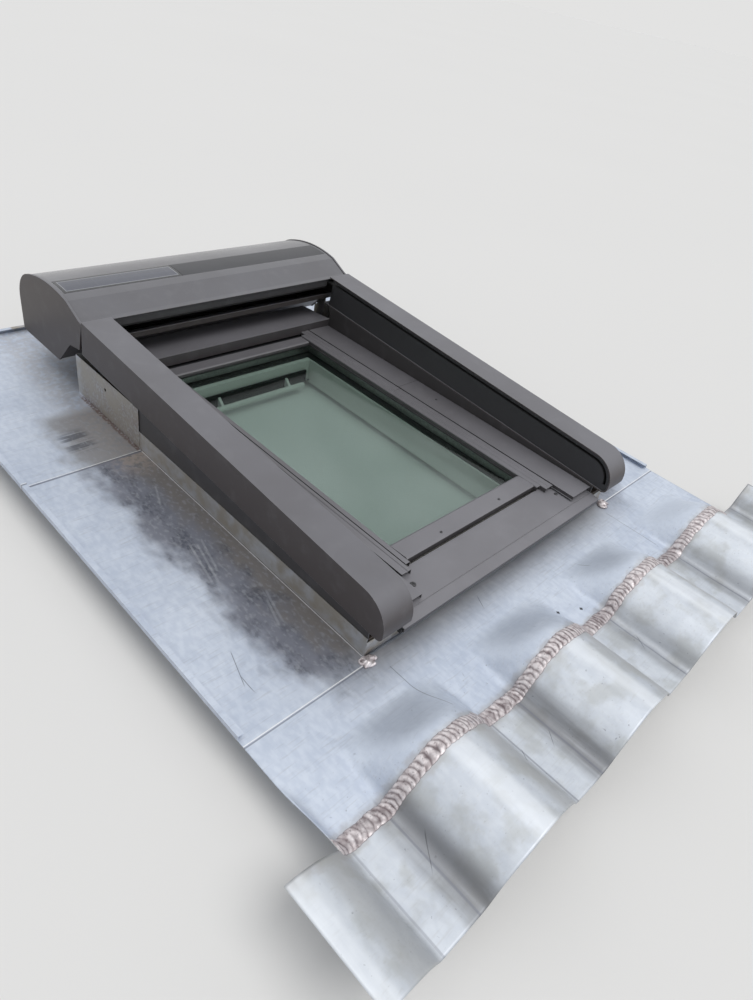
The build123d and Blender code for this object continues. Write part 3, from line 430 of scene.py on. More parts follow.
@dataclass(frozen=True)
class WeatheredZinc(Finish):
    """Rolled zinc: bluish silver with white bloom, dark wiped smears by the upstands and dirt by the solder.

    Attributes:
        clean: Colour of clean metal.
        bloom: Colour of the pale bloom.
        veil: Colour of the grey veil on the upper sheets.
        smear_and_painted_shade: Colour of the dark smears along the lower sheets and of nicks, and of painted
            shade in the rolls' creases and beside the edges at the joints.
        wiped: Colour where a hand wiped them.
        fleck: Colour of the pale flecks and strokes in them.
        stain: Colour of the brownish dirt close to the upstands.
        beige: Colour of the dried dirt at the upper joint.
        crust: Colour of the crust at the foot of the upper upstands.
        wall: Colour of the upstands.
        flux: Colour of the burnt flux beside the solder.
        mallet: Colour that the mallet left on the beaten strip.
        mottle: Colour of the strip's dull patches.
        painted_light_uphill: Colour of the painted light on slopes of the apron that face up the roof.
        painted_crest_highlight: Colour of the painted highlight on the rolls' crests.
        painted_flank_shade: Colour of the painted shade on the band beside a crest.
        shaded: Colour of the painted shade at the foot of a roll.
        painted_edge_glint: Colour of the painted highlights on the edges at the two joints and on the folded
            foot of the upstand.
        scratch: Colour of scratches and spots.
        upstand: Distance of the upstands from the middle.
        lap: Y of the joint between the side sheets and the back sheet.
        solder: Y of the middle of the solder seam.
        crest: X of one crest of the beaten rolls.
        pitch: Distance between two crests.
        scratches: Start X, start Y, slope, bend and length of each long scratch.
        wipes: The same of each pale stroke in the dark band.
        dots: X and Y of each dark spot on the apron.
    """

    clean: Colour = (0.47, 0.525, 0.63)
    bloom: Colour = (0.63, 0.680, 0.765)
    veil: Colour = (0.285, 0.283, 0.292)
    smear_and_painted_shade: Colour = (0.190, 0.199, 0.240)
    wiped: Colour = (0.060, 0.067, 0.090)
    fleck: Colour = (0.36, 0.375, 0.41)
    stain: Colour = (0.205, 0.188, 0.178)
    beige: Colour = (0.40, 0.345, 0.31)
    crust: Colour = (0.17, 0.115, 0.10)
    wall: Colour = (0.36, 0.335, 0.295)
    flux: Colour = (0.32, 0.30, 0.31)
    mallet: Colour = (0.60, 0.60, 0.57)
    mottle: Colour = (0.36, 0.365, 0.345)
    painted_light_uphill: Colour = (0.68, 0.74, 0.84)
    painted_crest_highlight: Colour = (0.86, 0.89, 0.93)
    painted_flank_shade: Colour = (0.42, 0.42, 0.41)
    shaded: Colour = (0.145, 0.144, 0.150)
    painted_edge_glint: Colour = (0.86, 0.87, 0.88)
    scratch: Colour = (0.06, 0.065, 0.075)
    upstand: float = 326.0
    lap: float = 606.0
    solder: float = -157.0
    crest: float = -105.0
    pitch: float = 258.0
    scratches: tuple[Line, ...] = (
        (-446.3, -203.0, -0.50, -0.004, 42.0),
        (-207.1, -219.0, -0.70, -0.003, 25.0),
        (-262.6, -212.0, -0.45, -0.008, 27.0),
        (58.8, -211.0, -0.45, -0.006, 30.0),
        (-230.6, -84.0, -0.40, 0.0, 12.0),
        (-480.0, 98.0, -0.1, 0.002, 38.0),
        (-466.2, 139.5, -0.33, 0.0, 64.0),
        (120.0, -60.0, 0.25, 0.002, 26.0),
        (-90.0, 0.0, -0.6, 0.003, 30.0),
    )
    wipes: tuple[Line, ...] = (
        (-393.0, 353.0, -0.21, 0.0, 98.0),
        (-383.0, 346.0, -0.24, 0.0, 104.0),
        (-372.0, 352.0, -0.26, 0.0, 80.0),
        (-356.0, 205.0, -0.35, 0.001, 70.0),
        (-366.0, 190.0, -0.38, 0.001, 60.0),
        (-358.0, 510.0, -0.4, 0.0, 60.0),
    )
    dots: tuple[Pair, ...] = ((-9.0, -106.0), (-21.0, -111.0), (32.0, -125.0))

    def paint(self, r: Recipe) -> None:
        """Works out the look.

        Args:
            r: Recipe of the finish.
        """
        fine = r.cloud(2.4, 3.0, 3.0, Way.UPHILL)
        mottle = r.cloud(6.0, 7.0, 40.0, Way.SMEARED).ramp(0.34, 0.68)
        bloomed = mottle * 0.45 + r.cloud(150.0, 8.0).ramp(0.32, 0.66) * 0.55
        r.colour = r.mix(bloomed, self.clean, self.bloom)
        rolled = r.cloud(3.0, 6.0, 77.0, Way.ACROSS).ramp(0.54, 0.72)
        r.coat(rolled * 0.20, self.veil)
        for layer in (self._band, self._dirt, self._folds, self._lines):
            layer(r)
        rough = 0.46 + bloomed * 0.12 + fine * 0.06
        dents = r.relief(r.cloud(130.0, 2.0, 8.0), 1.6)
        normal = r.relief(fine, 0.015, dents)
        r.painted(Roughness=rough, Metallic=0.66, Normal=normal)

    def _band(self, r: Recipe) -> None:
        """Dark band along the upstands, wiped by hand, with pale flecks and strokes in it.

        Args:
            r: Recipe of the finish.
        """
        x, y, z = r.axes()
        wander = (r.cloud(80.0, 6.0, 5.0) - 0.5) * 90.0
        wander = wander + (r.cloud(14.0, 5.0, 15.0, Way.SMEARED) - 0.5) * 50.0
        edge = x.size() - self.upstand + wander + y.ramp(110.0, -20.0) * 34.0
        band = edge.ramp(132.0, 76.0) * y.ramp(-60.0, 60.0) * y.ramp(800.0, 760.0) * z.ramp(5.0, 2.0)
        upper = y.ramp(self.lap - 3.0, self.lap + 3.0)
        dark = r.mix(edge.ramp(62.0, 12.0), self.smear_and_painted_shade, self.stain)
        r.coat(band * 0.94, r.mix(upper, dark, self.veil))
        wiped = r.cloud(26.0, 9.0, 12.0, Way.SMEARED).ramp(0.42, 0.66)
        streaks = r.cloud(3.5, 5.0, 25.0, Way.SMEARED).ramp(0.40, 0.60)
        inner = edge.ramp(112.0, 92.0) * edge.ramp(14.0, 40.0)
        finger = x.near(-405.0, 34.0) * y.near(690.0, 46.0)
        deep = wiped * (streaks * 0.7 + 0.3) * band * inner * (1.0 - upper)
        deep = deep + finger * r.cloud(9.0, 4.0, 55.0, Way.ACROSS).ramp(0.42, 0.58)
        r.coat(deep.low(1.0) * 0.66, self.wiped)
        flecks = r.cloud(4.5, 6.0, 66.0, Way.SMEARED).ramp(0.50, 0.68)
        wipes = Value.total(self._stroke(x, y, 2.6, *line) for line in self.wipes)
        r.coat((flecks * 0.45 + wipes * 0.5).low(1.0) * band, self.fleck)

    def _dirt(self, r: Recipe) -> None:
        """Dried dirt at the upper joint, dull upstands with a crust at their foot, and burnt flux.

        Args:
            r: Recipe of the finish.
        """
        x, y, z = r.axes()
        away = x.size() - self.upstand
        upper = y.ramp(self.lap - 3.0, self.lap + 3.0)
        beige = y.ramp(self.lap - 86.0, self.lap - 8.0) * y.ramp(self.lap, self.lap - 3.0) + upper * 0.35
        speckle = r.cloud(12.0, 6.0, 34.0).ramp(0.36, 0.56)
        beige = beige * away.ramp(85.0, 25.0) * speckle * z.ramp(5.0, 2.0)
        r.coat(beige.low(1.0) * 0.75, self.beige)
        crumbs = r.cloud(5.0, 5.0, 71.0).ramp(0.36, 0.52)
        crust = away.near(3.0, 6.0) * upper * y.ramp(836.0, 812.0) * crumbs
        r.coat(crust * 0.8, self.crust)
        wall = away.ramp(6.0, 2.0) * z.ramp(1.0, 6.0) * y.ramp(5.0, 14.0)
        wall = wall * r.cloud(26.0, 8.0, 9.0).ramp(0.3, 0.65, 0.55, 1.0)
        r.coat(wall, self.wall)
        seam = (y - self.solder).size() + (r.cloud(16.0, 5.0, 50.0) - 0.5) * 26.0
        r.coat(seam.ramp(19.0, 9.0) * 0.5, self.flux)

    def _folds(self, r: Recipe) -> None:
        """Beaten strip: dull patches and nicks, painted light on uphill slopes, a painted highlight on the
        crests, and painted shade beside the crests, at the feet and in the creases of the rolls.

        Args:
            r: Recipe of the finish.
        """
        x, y, _ = r.axes()
        across = (x - self.crest + self.pitch / 2).repeat(self.pitch) - self.pitch / 2
        beaten = y.ramp(-132.0, -160.0)
        r.coat(beaten * 0.35, self.mallet)
        mottled = r.cloud(44.0, 5.0, 53.0).ramp(0.46, 0.64)
        r.coat(mottled * beaten * 0.42, self.mottle)
        nicked = r.cloud(5.5, 4.0, 67.0).ramp(0.68, 0.74) * y.ramp(-40.0, -120.0, 0.25, 1.0)
        r.coat(nicked * y.ramp(10.0, 0.0) * 0.55, self.smear_and_painted_shade)
        # Painted light: slopes of the apron that face up the roof are made paler.
        painted_light_uphill = r.facing()[1].ramp(0.03, 0.45) * y.ramp(-160.0, -140.0)
        r.coat(painted_light_uphill * 0.5, self.painted_light_uphill)
        # Painted highlight along the crest of each roll.
        painted_crest_highlight = across.near(4.0, 26.0) * r.cloud(30.0, 4.0, 29.0, Way.UPHILL).ramp(0.3, 0.6, 0.3, 1.0)
        r.coat(painted_crest_highlight * beaten * 0.5, self.painted_crest_highlight)
        # Painted shade on the flank beside each crest.
        r.coat(across.near(66.0, 36.0) * beaten * 0.5, self.painted_flank_shade)
        ragged = r.cloud(22.0, 5.0, 19.0, Way.UPHILL).ramp(0.3, 0.6, 0.45, 1.0)
        # Painted shade on the left foot of each roll, strongest on the first roll.
        shaded = across.near(-97.0, 32.0) * x.ramp(-150.0, 30.0, 0.74, 0.42) * ragged
        r.coat(shaded * beaten, self.shaded)
        # Painted shade in the creases at both feet of each roll.
        crease = across.near(-101.0, 2.2) * 0.6 + across.near(97.0, 2.0) * 0.55
        r.coat(crease * ragged * beaten, self.smear_and_painted_shade)

    def _lines(self, r: Recipe) -> None:
        """Painted highlights on the edges at the two joints and on the folded foot of the upstand, painted
        shade beside those edges, scratches, spots and a scribed line.

        Args:
            r: Recipe of the finish.
        """
        x, y, z = r.axes()
        away = x.size() - self.upstand
        outside = away.ramp(0.5, 2.0)
        # Painted shade just below the edges at the two joints.
        r.coat(y.near(6.6, 1.6) * outside * 0.7, self.smear_and_painted_shade)
        r.coat(y.near(self.lap + 0.2, 2.2) * outside * 0.8, self.smear_and_painted_shade)
        # Painted highlights on those edges and on the folded foot of the upstand.
        bright = (y.near(8.8, 1.1) + y.near(self.lap + 3.0, 1.0)) * outside
        foot = away.near(0.9, 0.9) * z.ramp(3.0, 1.8) * y.ramp(8.0, 14.0)
        bright = bright + foot * y.ramp(self.lap + 2.0, self.lap - 2.0)
        r.coat(bright.low(1.0) * 0.8, self.painted_edge_glint)
        scribed = x.size().near(307.0, 1.0) * y.ramp(-13.0, -16.0) * y.ramp(-124.0, -121.0)
        dots = Value.total(self._dot(x, y, *dot) for dot in self.dots)
        cuts = Value.total(self._stroke(x, y, 0.9, *cut) for cut in self.scratches)
        r.coat((scribed * 0.45 + dots + cuts * 0.55).low(1.0), self.scratch)

    @staticmethod
    def _dot(x: Value, y: Value, x0: float, y0: float) -> Value:
        """Small dark spot round the point (x0, y0)."""
        return ((x - x0).size() + (y - y0).size()).ramp(4.2, 2.8)

    @staticmethod
    def _stroke(
        x: Value, y: Value, reach: float, x0: float, y0: float, slope: float, bend: float, length: float
    ) -> Value:
        """Bowed line down the roof: at u below y0, its x is x0 + slope * u + bend * u * u.

        Args:
            x: X of the surface.
            y: Y of the surface.
            reach: Half width of the line.
            x0: X of its upper end.
            y0: Y of its upper end.
            slope: How far it leans.
            bend: How much it bows.
            length: How far down it goes.

        Returns:
            1 on the line, 0 elsewhere.
        """
        u = y0 - y
        line = (x - x0 - u * slope - u * u * bend).near(0.0, reach)
        return line * u.ramp(0.0, 8.0) * u.ramp(length, length - 12.0)


@dataclass(frozen=True)
class SolderFinish(Finish):
    """Soft solder, pinkish grey, with painted shade in the grooves between its ridges and along its edge, and
    dark spots of dirt.

    Attributes:
        metal: Colour of the ridges.
        second: Colour of their duller patches.
        groove: Colour of the painted shade in the grooves and along the edge, and of dark spots of dirt.
    """

    metal: Colour = (0.70, 0.655, 0.665)
    second: Colour = (0.50, 0.45, 0.46)
    groove: Colour = (0.095, 0.065, 0.072)

    def paint(self, r: Recipe) -> None:
        """Works out the look.

        Args:
            r: Recipe of the finish.
        """
        patch = r.cloud(7.0, 5.0).ramp(0.4, 0.65)
        r.colour = r.mix(patch, self.metal, self.second)
        # Painted shade in the grooves and along the edge, as the mesh gives it.
        r.coat(r.attribute("shade"), self.groove)
        r.coat(r.cloud(4.0, 3.0, 9.0).ramp(0.58, 0.68) * 0.5, self.groove)
        normal = r.relief(r.cloud(2.6, 3.0), 0.5)
        rough = 0.42 + patch * 0.15
        r.painted(Roughness=rough, Metallic=0.45, Normal=normal)


@dataclass(frozen=True)
class Plain(Finish):
    """Small or hidden piece in one material, with a fine grain of its own.

    Attributes:
        colour: Main colour.
        second: Colour of the grain.
        grain_mm: Size of the grain.
        way: Direction of the grain.
        rough: Roughness.
        metal: 1 for bare metal, else 0.
        relief_mm: Depth of the grain.
    """

    colour: Colour
    second: Colour
    grain_mm: float = 3.0
    way: Way = Way.EVEN
    rough: float = 0.5
    metal: float = 0.0
    relief_mm: float = 0.05

    def paint(self, r: Recipe) -> None:
        """Works out the look.

        Args:
            r: Recipe of the finish.
        """
        grain = r.cloud(self.grain_mm, 4.0, way=self.way)
        r.colour = r.mix(grain.ramp(0.35, 0.65), self.colour, self.second)
        rough = self.rough + grain * 0.1
        normal = r.relief(grain, self.relief_mm, r.soft_edges(0.6))
        r.painted(Roughness=rough, Metallic=self.metal, Normal=normal)


@dataclass(frozen=True)
class LacqueredTimber(Finish):
    """White lacquer on timber, with a trace of the grain, and near-black painted shade above a height, where
    the covers lie on it.

    Attributes:
        lacquer: Colour of the lacquer.
        second: Colour along the grain.
        painted_cover_shade: Colour of the near-black painted shade.
        painted_shade_from: Height from which the timber is painted dark as shade.
    """

    lacquer: Colour = (0.78, 0.78, 0.75)
    second: Colour = (0.755, 0.755, 0.725)
    painted_cover_shade: Colour = (0.022, 0.022, 0.024)
    painted_shade_from: float = 36.0

    def paint(self, r: Recipe) -> None:
        """Works out the look.

        Args:
            r: Recipe of the finish.
        """
        grain = r.cloud(9.0, 4.0, way=Way.UPHILL)
        r.colour = r.mix(grain.ramp(0.35, 0.65), self.lacquer, self.second)
        # Painted shade: near-black timber above that height.
        r.coat(r.axes()[2].ramp(self.painted_shade_from - 1.0, self.painted_shade_from), self.painted_cover_shade)
        normal = r.relief(grain, 0.012, r.soft_edges(0.8))
        r.painted(Roughness=0.36 + grain * 0.1, Normal=normal)


@dataclass(frozen=True)
class WindowGlass(Finish):
    """Sheet of faintly green glass. Each of its two faces tints, mirrors a little and carries some dust.

    Attributes:
        tint: Colour that one face lets through.
        mirror: Colour of its reflection.
        head_on: Share that one face mirrors when seen straight on. It grows to 1 at a slant.
        dust: Share of the face that dust covers.
        drops: How strong the dried drops near the upper edge are.
    """

    tint: Colour = (0.836, 0.868, 0.857)
    mirror: Colour = (0.93, 0.98, 0.97)
    head_on: float = 0.011
    dust: float = 0.009
    drops: float = 0.0

    def paint(self, r: Recipe) -> None:
        """Works out the look.

        Args:
            r: Recipe of the finish.
        """
        _, y, _ = r.axes()
        through = r.node("ShaderNodeBsdfTransparent", {}, {"Color": self.tint}).outputs[0]
        film = r.cloud(140.0, 1.0).ramp(0.35, 0.7, 0.6, 1.4) * y.ramp(760.0, 200.0, 0.2, 3.0) * self.dust
        drop = r.cloud(3.2, 2.0, 14.0).ramp(0.71, 0.74) * y.ramp(620.0, 728.0)
        drop = drop * r.cloud(60.0, 2.0, 44.0).ramp(0.35, 0.6) * self.drops
        gloss = r.principled(Base_Color=self.mirror, Roughness=0.02 + drop * 0.5, Metallic=1.0)
        slant = r.value("ShaderNodeLayerWeight", {}, {"Blend": 0.5}, "Facing")
        share = (film + drop + self.head_on + slant**7 * (1.0 - self.head_on)).low(1.0)
        r.finish(r.node("ShaderNodeMixShader", {}, {0: share, 1: through, 2: gloss}).outputs[0])


@dataclass(frozen=True)
class SolarCells(Finish):
    """Dark bluish cells in a faint grid, with a pale line just inside the border of the panel.

    Attributes:
        left: X of the panel's left edge.
        right: X of its right edge.
        front: Y of its front edge.
        back: Y of its back edge.
        cell: Sides of a cell.
        dark: Colour of the cells.
        sheen: Colour of their paler clouds.
        gap: Colour between the cells.
        border: Colour of the border.
        line: Colour of the line inside it.
    """

    left: float = -320.2
    right: float = -71.0
    front: float = 873.5
    back: float = 925.5
    cell: Pair = (31.0, 15.0)
    dark: Colour = (0.050, 0.054, 0.078)
    sheen: Colour = (0.085, 0.09, 0.12)
    gap: Colour = (0.13, 0.135, 0.16)
    border: Colour = (0.018, 0.018, 0.021)
    line: Colour = (0.34, 0.35, 0.38)

    def paint(self, r: Recipe) -> None:
        """Works out the look.

        Args:
            r: Recipe of the finish.
        """
        x, y, _ = r.axes()
        inside = (x - self.left).low(self.right - x).low((y - self.front).low(self.back - y))
        gaps = self._gaps(x, self.cell[0]).top(self._gaps(y, self.cell[1]))
        r.colour = r.mix(gaps * 0.35, self.dark, self.gap)
        r.coat(r.cloud(60.0, 3.0) * 0.35, self.sheen)
        r.coat(inside.ramp(7.5, 6.0), self.border)
        r.coat(inside.near(6.5, 1.2) * 0.7, self.line)
        r.painted(Roughness=0.24, Coat_Weight=0.3, Coat_Roughness=0.08)

    @staticmethod
    def _gaps(along: Value, pitch: float) -> Value:
        """1 between two cells of that pitch, 0 on them."""
        return (along.repeat(pitch) - pitch / 2).size().ramp(pitch / 2 - 0.5, pitch / 2 - 0.2)


Dressing = tuple[tuple[Finish, str], ...]


@dataclass
class Studio:
    """Pale floor, plain soft light and the camera of the photograph.

    Attributes:
        position: Camera position.
        right: Camera's own X axis.
        up: Camera's own Y axis.
        lens_mm: Focal length.
        sensor_mm: Side of the sensor along the picture's long side.
        floor_half_m: Half of the floor's side, in metres.
        floor: Colour of the floor.
        sky: Colour of the even light.
        sky_strength: How strong the even light is.
        horizon: Colour that the floor fades into.
        zenith: Colour that the horizon fades into.
        sun_colour: Colour of the soft lamp.
        sun_strength: How strong it is.
        sun_degrees: How wide it is, seen from the part.
        sun_from: Direction in which it stands.
    """

    position: Point = (-860.0, -359.0, 770.0)
    right: Point = (0.7001, -0.6940, 0.1682)
    up: Point = (0.3359, 0.5280, 0.7800)
    lens_mm: float = 25.25
    sensor_mm: float = 36.0
    floor_half_m: float = 45.0
    floor: Colour = (0.76, 0.755, 0.745)
    sky: Colour = (0.95, 0.97, 1.0)
    sky_strength: float = 0.62
    horizon: Colour = (0.767, 0.766, 0.762)
    zenith: Colour = (0.97, 0.985, 1.0)
    sun_colour: Colour = (1.0, 0.985, 0.96)
    sun_strength: float = 1.38
    sun_degrees: float = 42.0
    sun_from: Point = (0.08, -0.40, 0.91)

    def build(self) -> None:
        """Makes the floor, lamp, world and camera."""
        self._floor()
        self._sky()
        self._lamp()
        self._camera()

    def _floor(self) -> None:
        """Wide flat square under the part."""
        half = self.floor_half_m
        corners = [(-half, -half, 0.0), (half, -half, 0.0), (half, half, 0.0), (-half, half, 0.0)]
        mesh = bpy.data.meshes.new("studio_floor")
        mesh.from_pydata(corners, [], [(0, 1, 2, 3)])
        floor = bpy.data.objects.new("studio_floor", mesh)
        bpy.context.scene.collection.objects.link(floor)
        r = Recipe("studio_floor")
        paler = tuple(channel * 1.02 for channel in self.floor)
        r.colour = r.mix(r.cloud(1500.0, 2.0), self.floor, paler)
        r.painted(Roughness=0.95, Specular_IOR_Level=0.0)
        mesh.materials.append(r.material)

    def _sky(self) -> None:
        """Even light, and for the camera, metal and glass a background that fades from the floor to white."""
        world = bpy.data.worlds.new("studio_sky")
        tree = Tree(world)
        rays = tree.node("ShaderNodeLightPath").outputs
        kinds = ("Is Camera Ray", "Is Glossy Ray", "Is Transmission Ray")
        camera, glossy, clear = (Value(tree, rays[kind]) for kind in kinds)
        direction = tree.node("ShaderNodeTexCoord").outputs["Generated"]
        height = tree.value("ShaderNodeSeparateXYZ", {}, {0: direction}, 2).ramp(0.05, 0.55)
        fade = tree.mix(height, self.horizon, self.zenith)
        even = {"Color": self.sky, "Strength": self.sky_strength}
        lit = tree.node("ShaderNodeBackground", {}, even).outputs[0]
        backdrop = tree.node("ShaderNodeBackground", {}, {"Color": fade}).outputs[0]
        choice = tree.node("ShaderNodeMixShader", {}, {0: camera.top(glossy).top(clear), 1: lit, 2: backdrop})
        tree.node("ShaderNodeOutputWorld", {}, {"Surface": choice.outputs[0]})
        bpy.context.scene.world = world

    def _lamp(self) -> None:
        """One wide soft lamp, as far away as the sky."""
        lamp = bpy.data.lights.new("studio_lamp", "SUN")
        lamp.energy = self.sun_strength
        lamp.angle = math.radians(self.sun_degrees)
        lamp.color = self.sun_colour
        holder = bpy.data.objects.new("studio_lamp", lamp)
        holder.location = Vector(self.sun_from) * 3.0
        holder.rotation_euler = (-Vector(self.sun_from)).to_track_quat("-Z", "Y").to_euler()
        bpy.context.scene.collection.objects.link(holder)

    def _camera(self) -> None:
        """Camera at the photograph's place and angle."""
        data = bpy.data.cameras.new("camera")
        data.sensor_width = self.sensor_mm
        data.sensor_fit = "AUTO"
        data.lens = self.lens_mm
        data.clip_start = 0.05
        right = Vector(self.right).normalized()
        up = Vector(self.up)
        up = (up - right * up.dot(right)).normalized()
        turn = Matrix((right, up, right.cross(up))).transposed().to_4x4()
        camera = bpy.data.objects.new("camera", data)
        camera.matrix_world = Matrix.Translation(to_metres(np.array(self.position)).tolist()) @ turn
        bpy.context.scene.collection.objects.link(camera)
        bpy.context.scene.camera = camera
        bpy.context.scene.view_settings.view_transform = "Standard"


def to_metres(points: Array) -> Array:
    """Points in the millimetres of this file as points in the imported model's metres."""
    return (points - np.array(ORIGIN)) / MM_PER_M


def grid(x: Array, y: Array, z: Array) -> Array:
    """Points of a grid, from coordinates that are spread over its rows and columns."""
    return np.stack(np.broadcast_arrays(x, y, z), axis=-1)


@dataclass
class Skin:
    """Closed mesh in the making: points in millimetres, quads, and which of them are smooth.

    Attributes:
        points: Positions, one row each.
        quads: Corners of each face.
        smooth: Whether each face is shaded smooth.
        shade: Value that the finish reads at each point.
    """

    points: Array
    quads: Array
    smooth: Array
    shade: Optional[Array] = None

    def joined(self, other: Skin) -> Skin:
        """This skin and another one as a single mesh.

        Args:
            other: The skin that is added. It has a shade if this one has.

        Returns:
            The joined skin.
        """
        shade = None if self.shade is None else np.concatenate([self.shade, other.shade])
        return Skin(
            np.concatenate([self.points, other.points]),
            np.concatenate([self.quads, other.quads + len(self.points)]),
            np.concatenate([self.smooth, other.smooth]),
            shade,
        )

    def piece(self, name: str, finish: Material, weld: bool = False) -> bpy.types.Object:
        """Makes the object, with its place in its mesh.

        Args:
            name: Name of the piece.
            finish: Its material.
            weld: Whether points that lie together are merged, which closes a seam or a pole.

        Returns:
            The new object.
        """
        mesh = bpy.data.meshes.new(name)
        mesh.from_pydata(to_metres(self.points), [], self.quads.tolist())
        mesh.polygons.foreach_set("use_smooth", self.smooth)
        if self.shade is not None:
            layer = mesh.attributes.new("shade", "FLOAT", "POINT")
            layer.data.foreach_set("value", self.shade.astype(np.float32))
        if weld:
            made = bmesh.new()
            made.from_mesh(mesh)
            bmesh.ops.remove_doubles(made, verts=made.verts, dist=1e-6)
            bmesh.ops.recalc_face_normals(made, faces=made.faces)
            made.to_mesh(mesh)
            made.free()
        mesh.materials.append(finish)
        mesh.update()
        piece = bpy.data.objects.new(name, mesh)
        bpy.context.scene.collection.objects.link(piece)
        LOG.info("%s: %d faces", name, len(mesh.polygons))
        return piece


def closed_shell(upper: Array, lower: Array, shade: Optional[Array] = None) -> Skin:
    """Skin between two grids of points, closed round its rim.

    Face (i, j) joins the points (i, j), (i+1, j), (i+1, j+1) and (i, j+1), so that it looks up where
    rows run along X and columns along Y. The lower grid is turned round, and the rim joins the two.

    Args:
        upper: Points of the upper side, rows by columns by 3.
        lower: Points of the lower side, in the same order.
        shade: Value at each upper point. The lower side gets 0.

    Returns:
        The closed skin.
    """
    rows, columns = upper.shape[:2]
    count = rows * columns
    first = np.arange(rows - 1)[:, None] * columns + np.arange(columns - 1)
    top = np.stack([first, first + columns, first + columns + 1, first + 1], axis=-1).reshape(-1, 4)
    index = np.arange(count).reshape(rows, columns)
    loop = np.concatenate([index[:-1, 0], index[-1, :-1], index[:0:-1, -1], index[0, :0:-1]])
    after = np.roll(loop, -1)
    rim = np.stack([loop, loop + count, after + count, after], axis=-1)
    smooth = np.concatenate([np.ones(2 * len(top), dtype=bool), np.zeros(len(rim), dtype=bool)])
    if shade is not None:
        shade = np.concatenate([shade.reshape(-1), np.zeros(count)])
    points = np.concatenate([upper.reshape(-1, 3), lower.reshape(-1, 3)])
    return Skin(points, np.concatenate([top, top[:, ::-1] + count, rim]), smooth, shade)


def swell(u: Array, v: Array, size: float, seed: int) -> Array:
    """Soft random relief from -1 to 1 over the plane of u and v.

    Heights on a square lattice are random. Between them, h(u, v) is the mix of the four heights
    round the point, with shares t * t * (3 - 2 * t) of the distances along u and v.

    Args:
        u: First coordinate of each point, in millimetres.
        v: Second coordinate, of the same shape.
        size: Side of the lattice's cells.
        seed: Number that picks the heights.

    Returns:
        The relief at each point.
    """
    heights = np.random.default_rng(seed).uniform(-1.0, 1.0, (LATTICE, LATTICE))
    u, v = u / size, v / size
    i, j = np.floor(u).astype(int), np.floor(v).astype(int)
    s, t = u - i, v - j
    s, t = s * s * (3 - 2 * s), t * t * (3 - 2 * t)
    i0, i1, j0, j1 = i % LATTICE, (i + 1) % LATTICE, j % LATTICE, (j + 1) % LATTICE
    near = heights[i0, j0] * (1 - s) + heights[i1, j0] * s
    far = heights[i0, j1] * (1 - s) + heights[i1, j1] * s
    return near * (1 - t) + far * t


def wander(u: Array, size: float, seed: int) -> Array:
    """Soft random curve from -1 to 1 along u, with bends of that size."""
    return swell(u, u * 0.0, size, seed)


@dataclass(frozen=True)
class TileRolls:
    """Row of tile rolls that the lower zinc is dressed over, as a line across the roof.

    Attributes:
        pitch: Distance between two crests.
        centre: X of one crest.
        height: Height of a crest over the valleys.
        radius: Radius of the round top.
        foot: Radius where a roll meets the valley.
    """

    pitch: float = 258.0
    centre: float = -105.0
    height: float = 54.0
    radius: float = 102.0
    foot: float = 14.0

    def reach(self) -> Pair:
        """Half widths of a roll.

        Returns:
            Half width of its round top, and of all of it with the feet that meet the valleys.
        """
        across = self.radius + self.foot
        half = math.sqrt(across**2 - (across - self.height) ** 2)
        return half * self.radius / across, half

    def from_crest(self, x: Array) -> Array:
        """Distance from the nearest crest."""
        return np.abs((x - self.centre + self.pitch / 2) % self.pitch - self.pitch / 2)

    def rise(self, x: Array, lift: float = 0.0) -> Array:
        """Height of the line at each x.

        On the round top it is H - R + sqrt((R + lift)^2 - d^2), on a foot F - sqrt((F - lift)^2 -
        (w - d)^2) and in the valley just the lift, where d is the distance from the crest, w the
        half width of the roll, R and F the radii and H the height.

        Args:
            x: Positions across the roof.
            lift: How far above the line, square to it.

        Returns:
            The heights.
        """
        tangent, half = self.reach()
        d = self.from_crest(x)
        top = self.height - self.radius + np.sqrt(np.maximum((self.radius + lift) ** 2 - d**2, 0.0))
        low = self.foot - np.sqrt(np.maximum((self.foot - lift) ** 2 - (half - d) ** 2, 0.0))
        on_top = d < tangent * (self.radius + lift) / self.radius
        return np.where(on_top, top, np.where(d < half, low, lift))

    def along(self, x: Array) -> Array:
        """Distance walked along the line from the first position to each of the others."""
        return np.concatenate([[0.0], np.cumsum(np.hypot(np.diff(x), np.diff(self.rise(x))))])

    def walk(self, half: float, step: float) -> Array:
        """Positions that are evenly spaced along the line itself.

        Args:
            half: The positions run from -half to half.
            step: Distance between two of them along the line.

        Returns:
            The positions.
        """
        x = np.linspace(-half, half, 8001)
        along = self.along(x)
        return np.interp(np.linspace(0.0, along[-1], int(along[-1] / step) + 1), along, x)


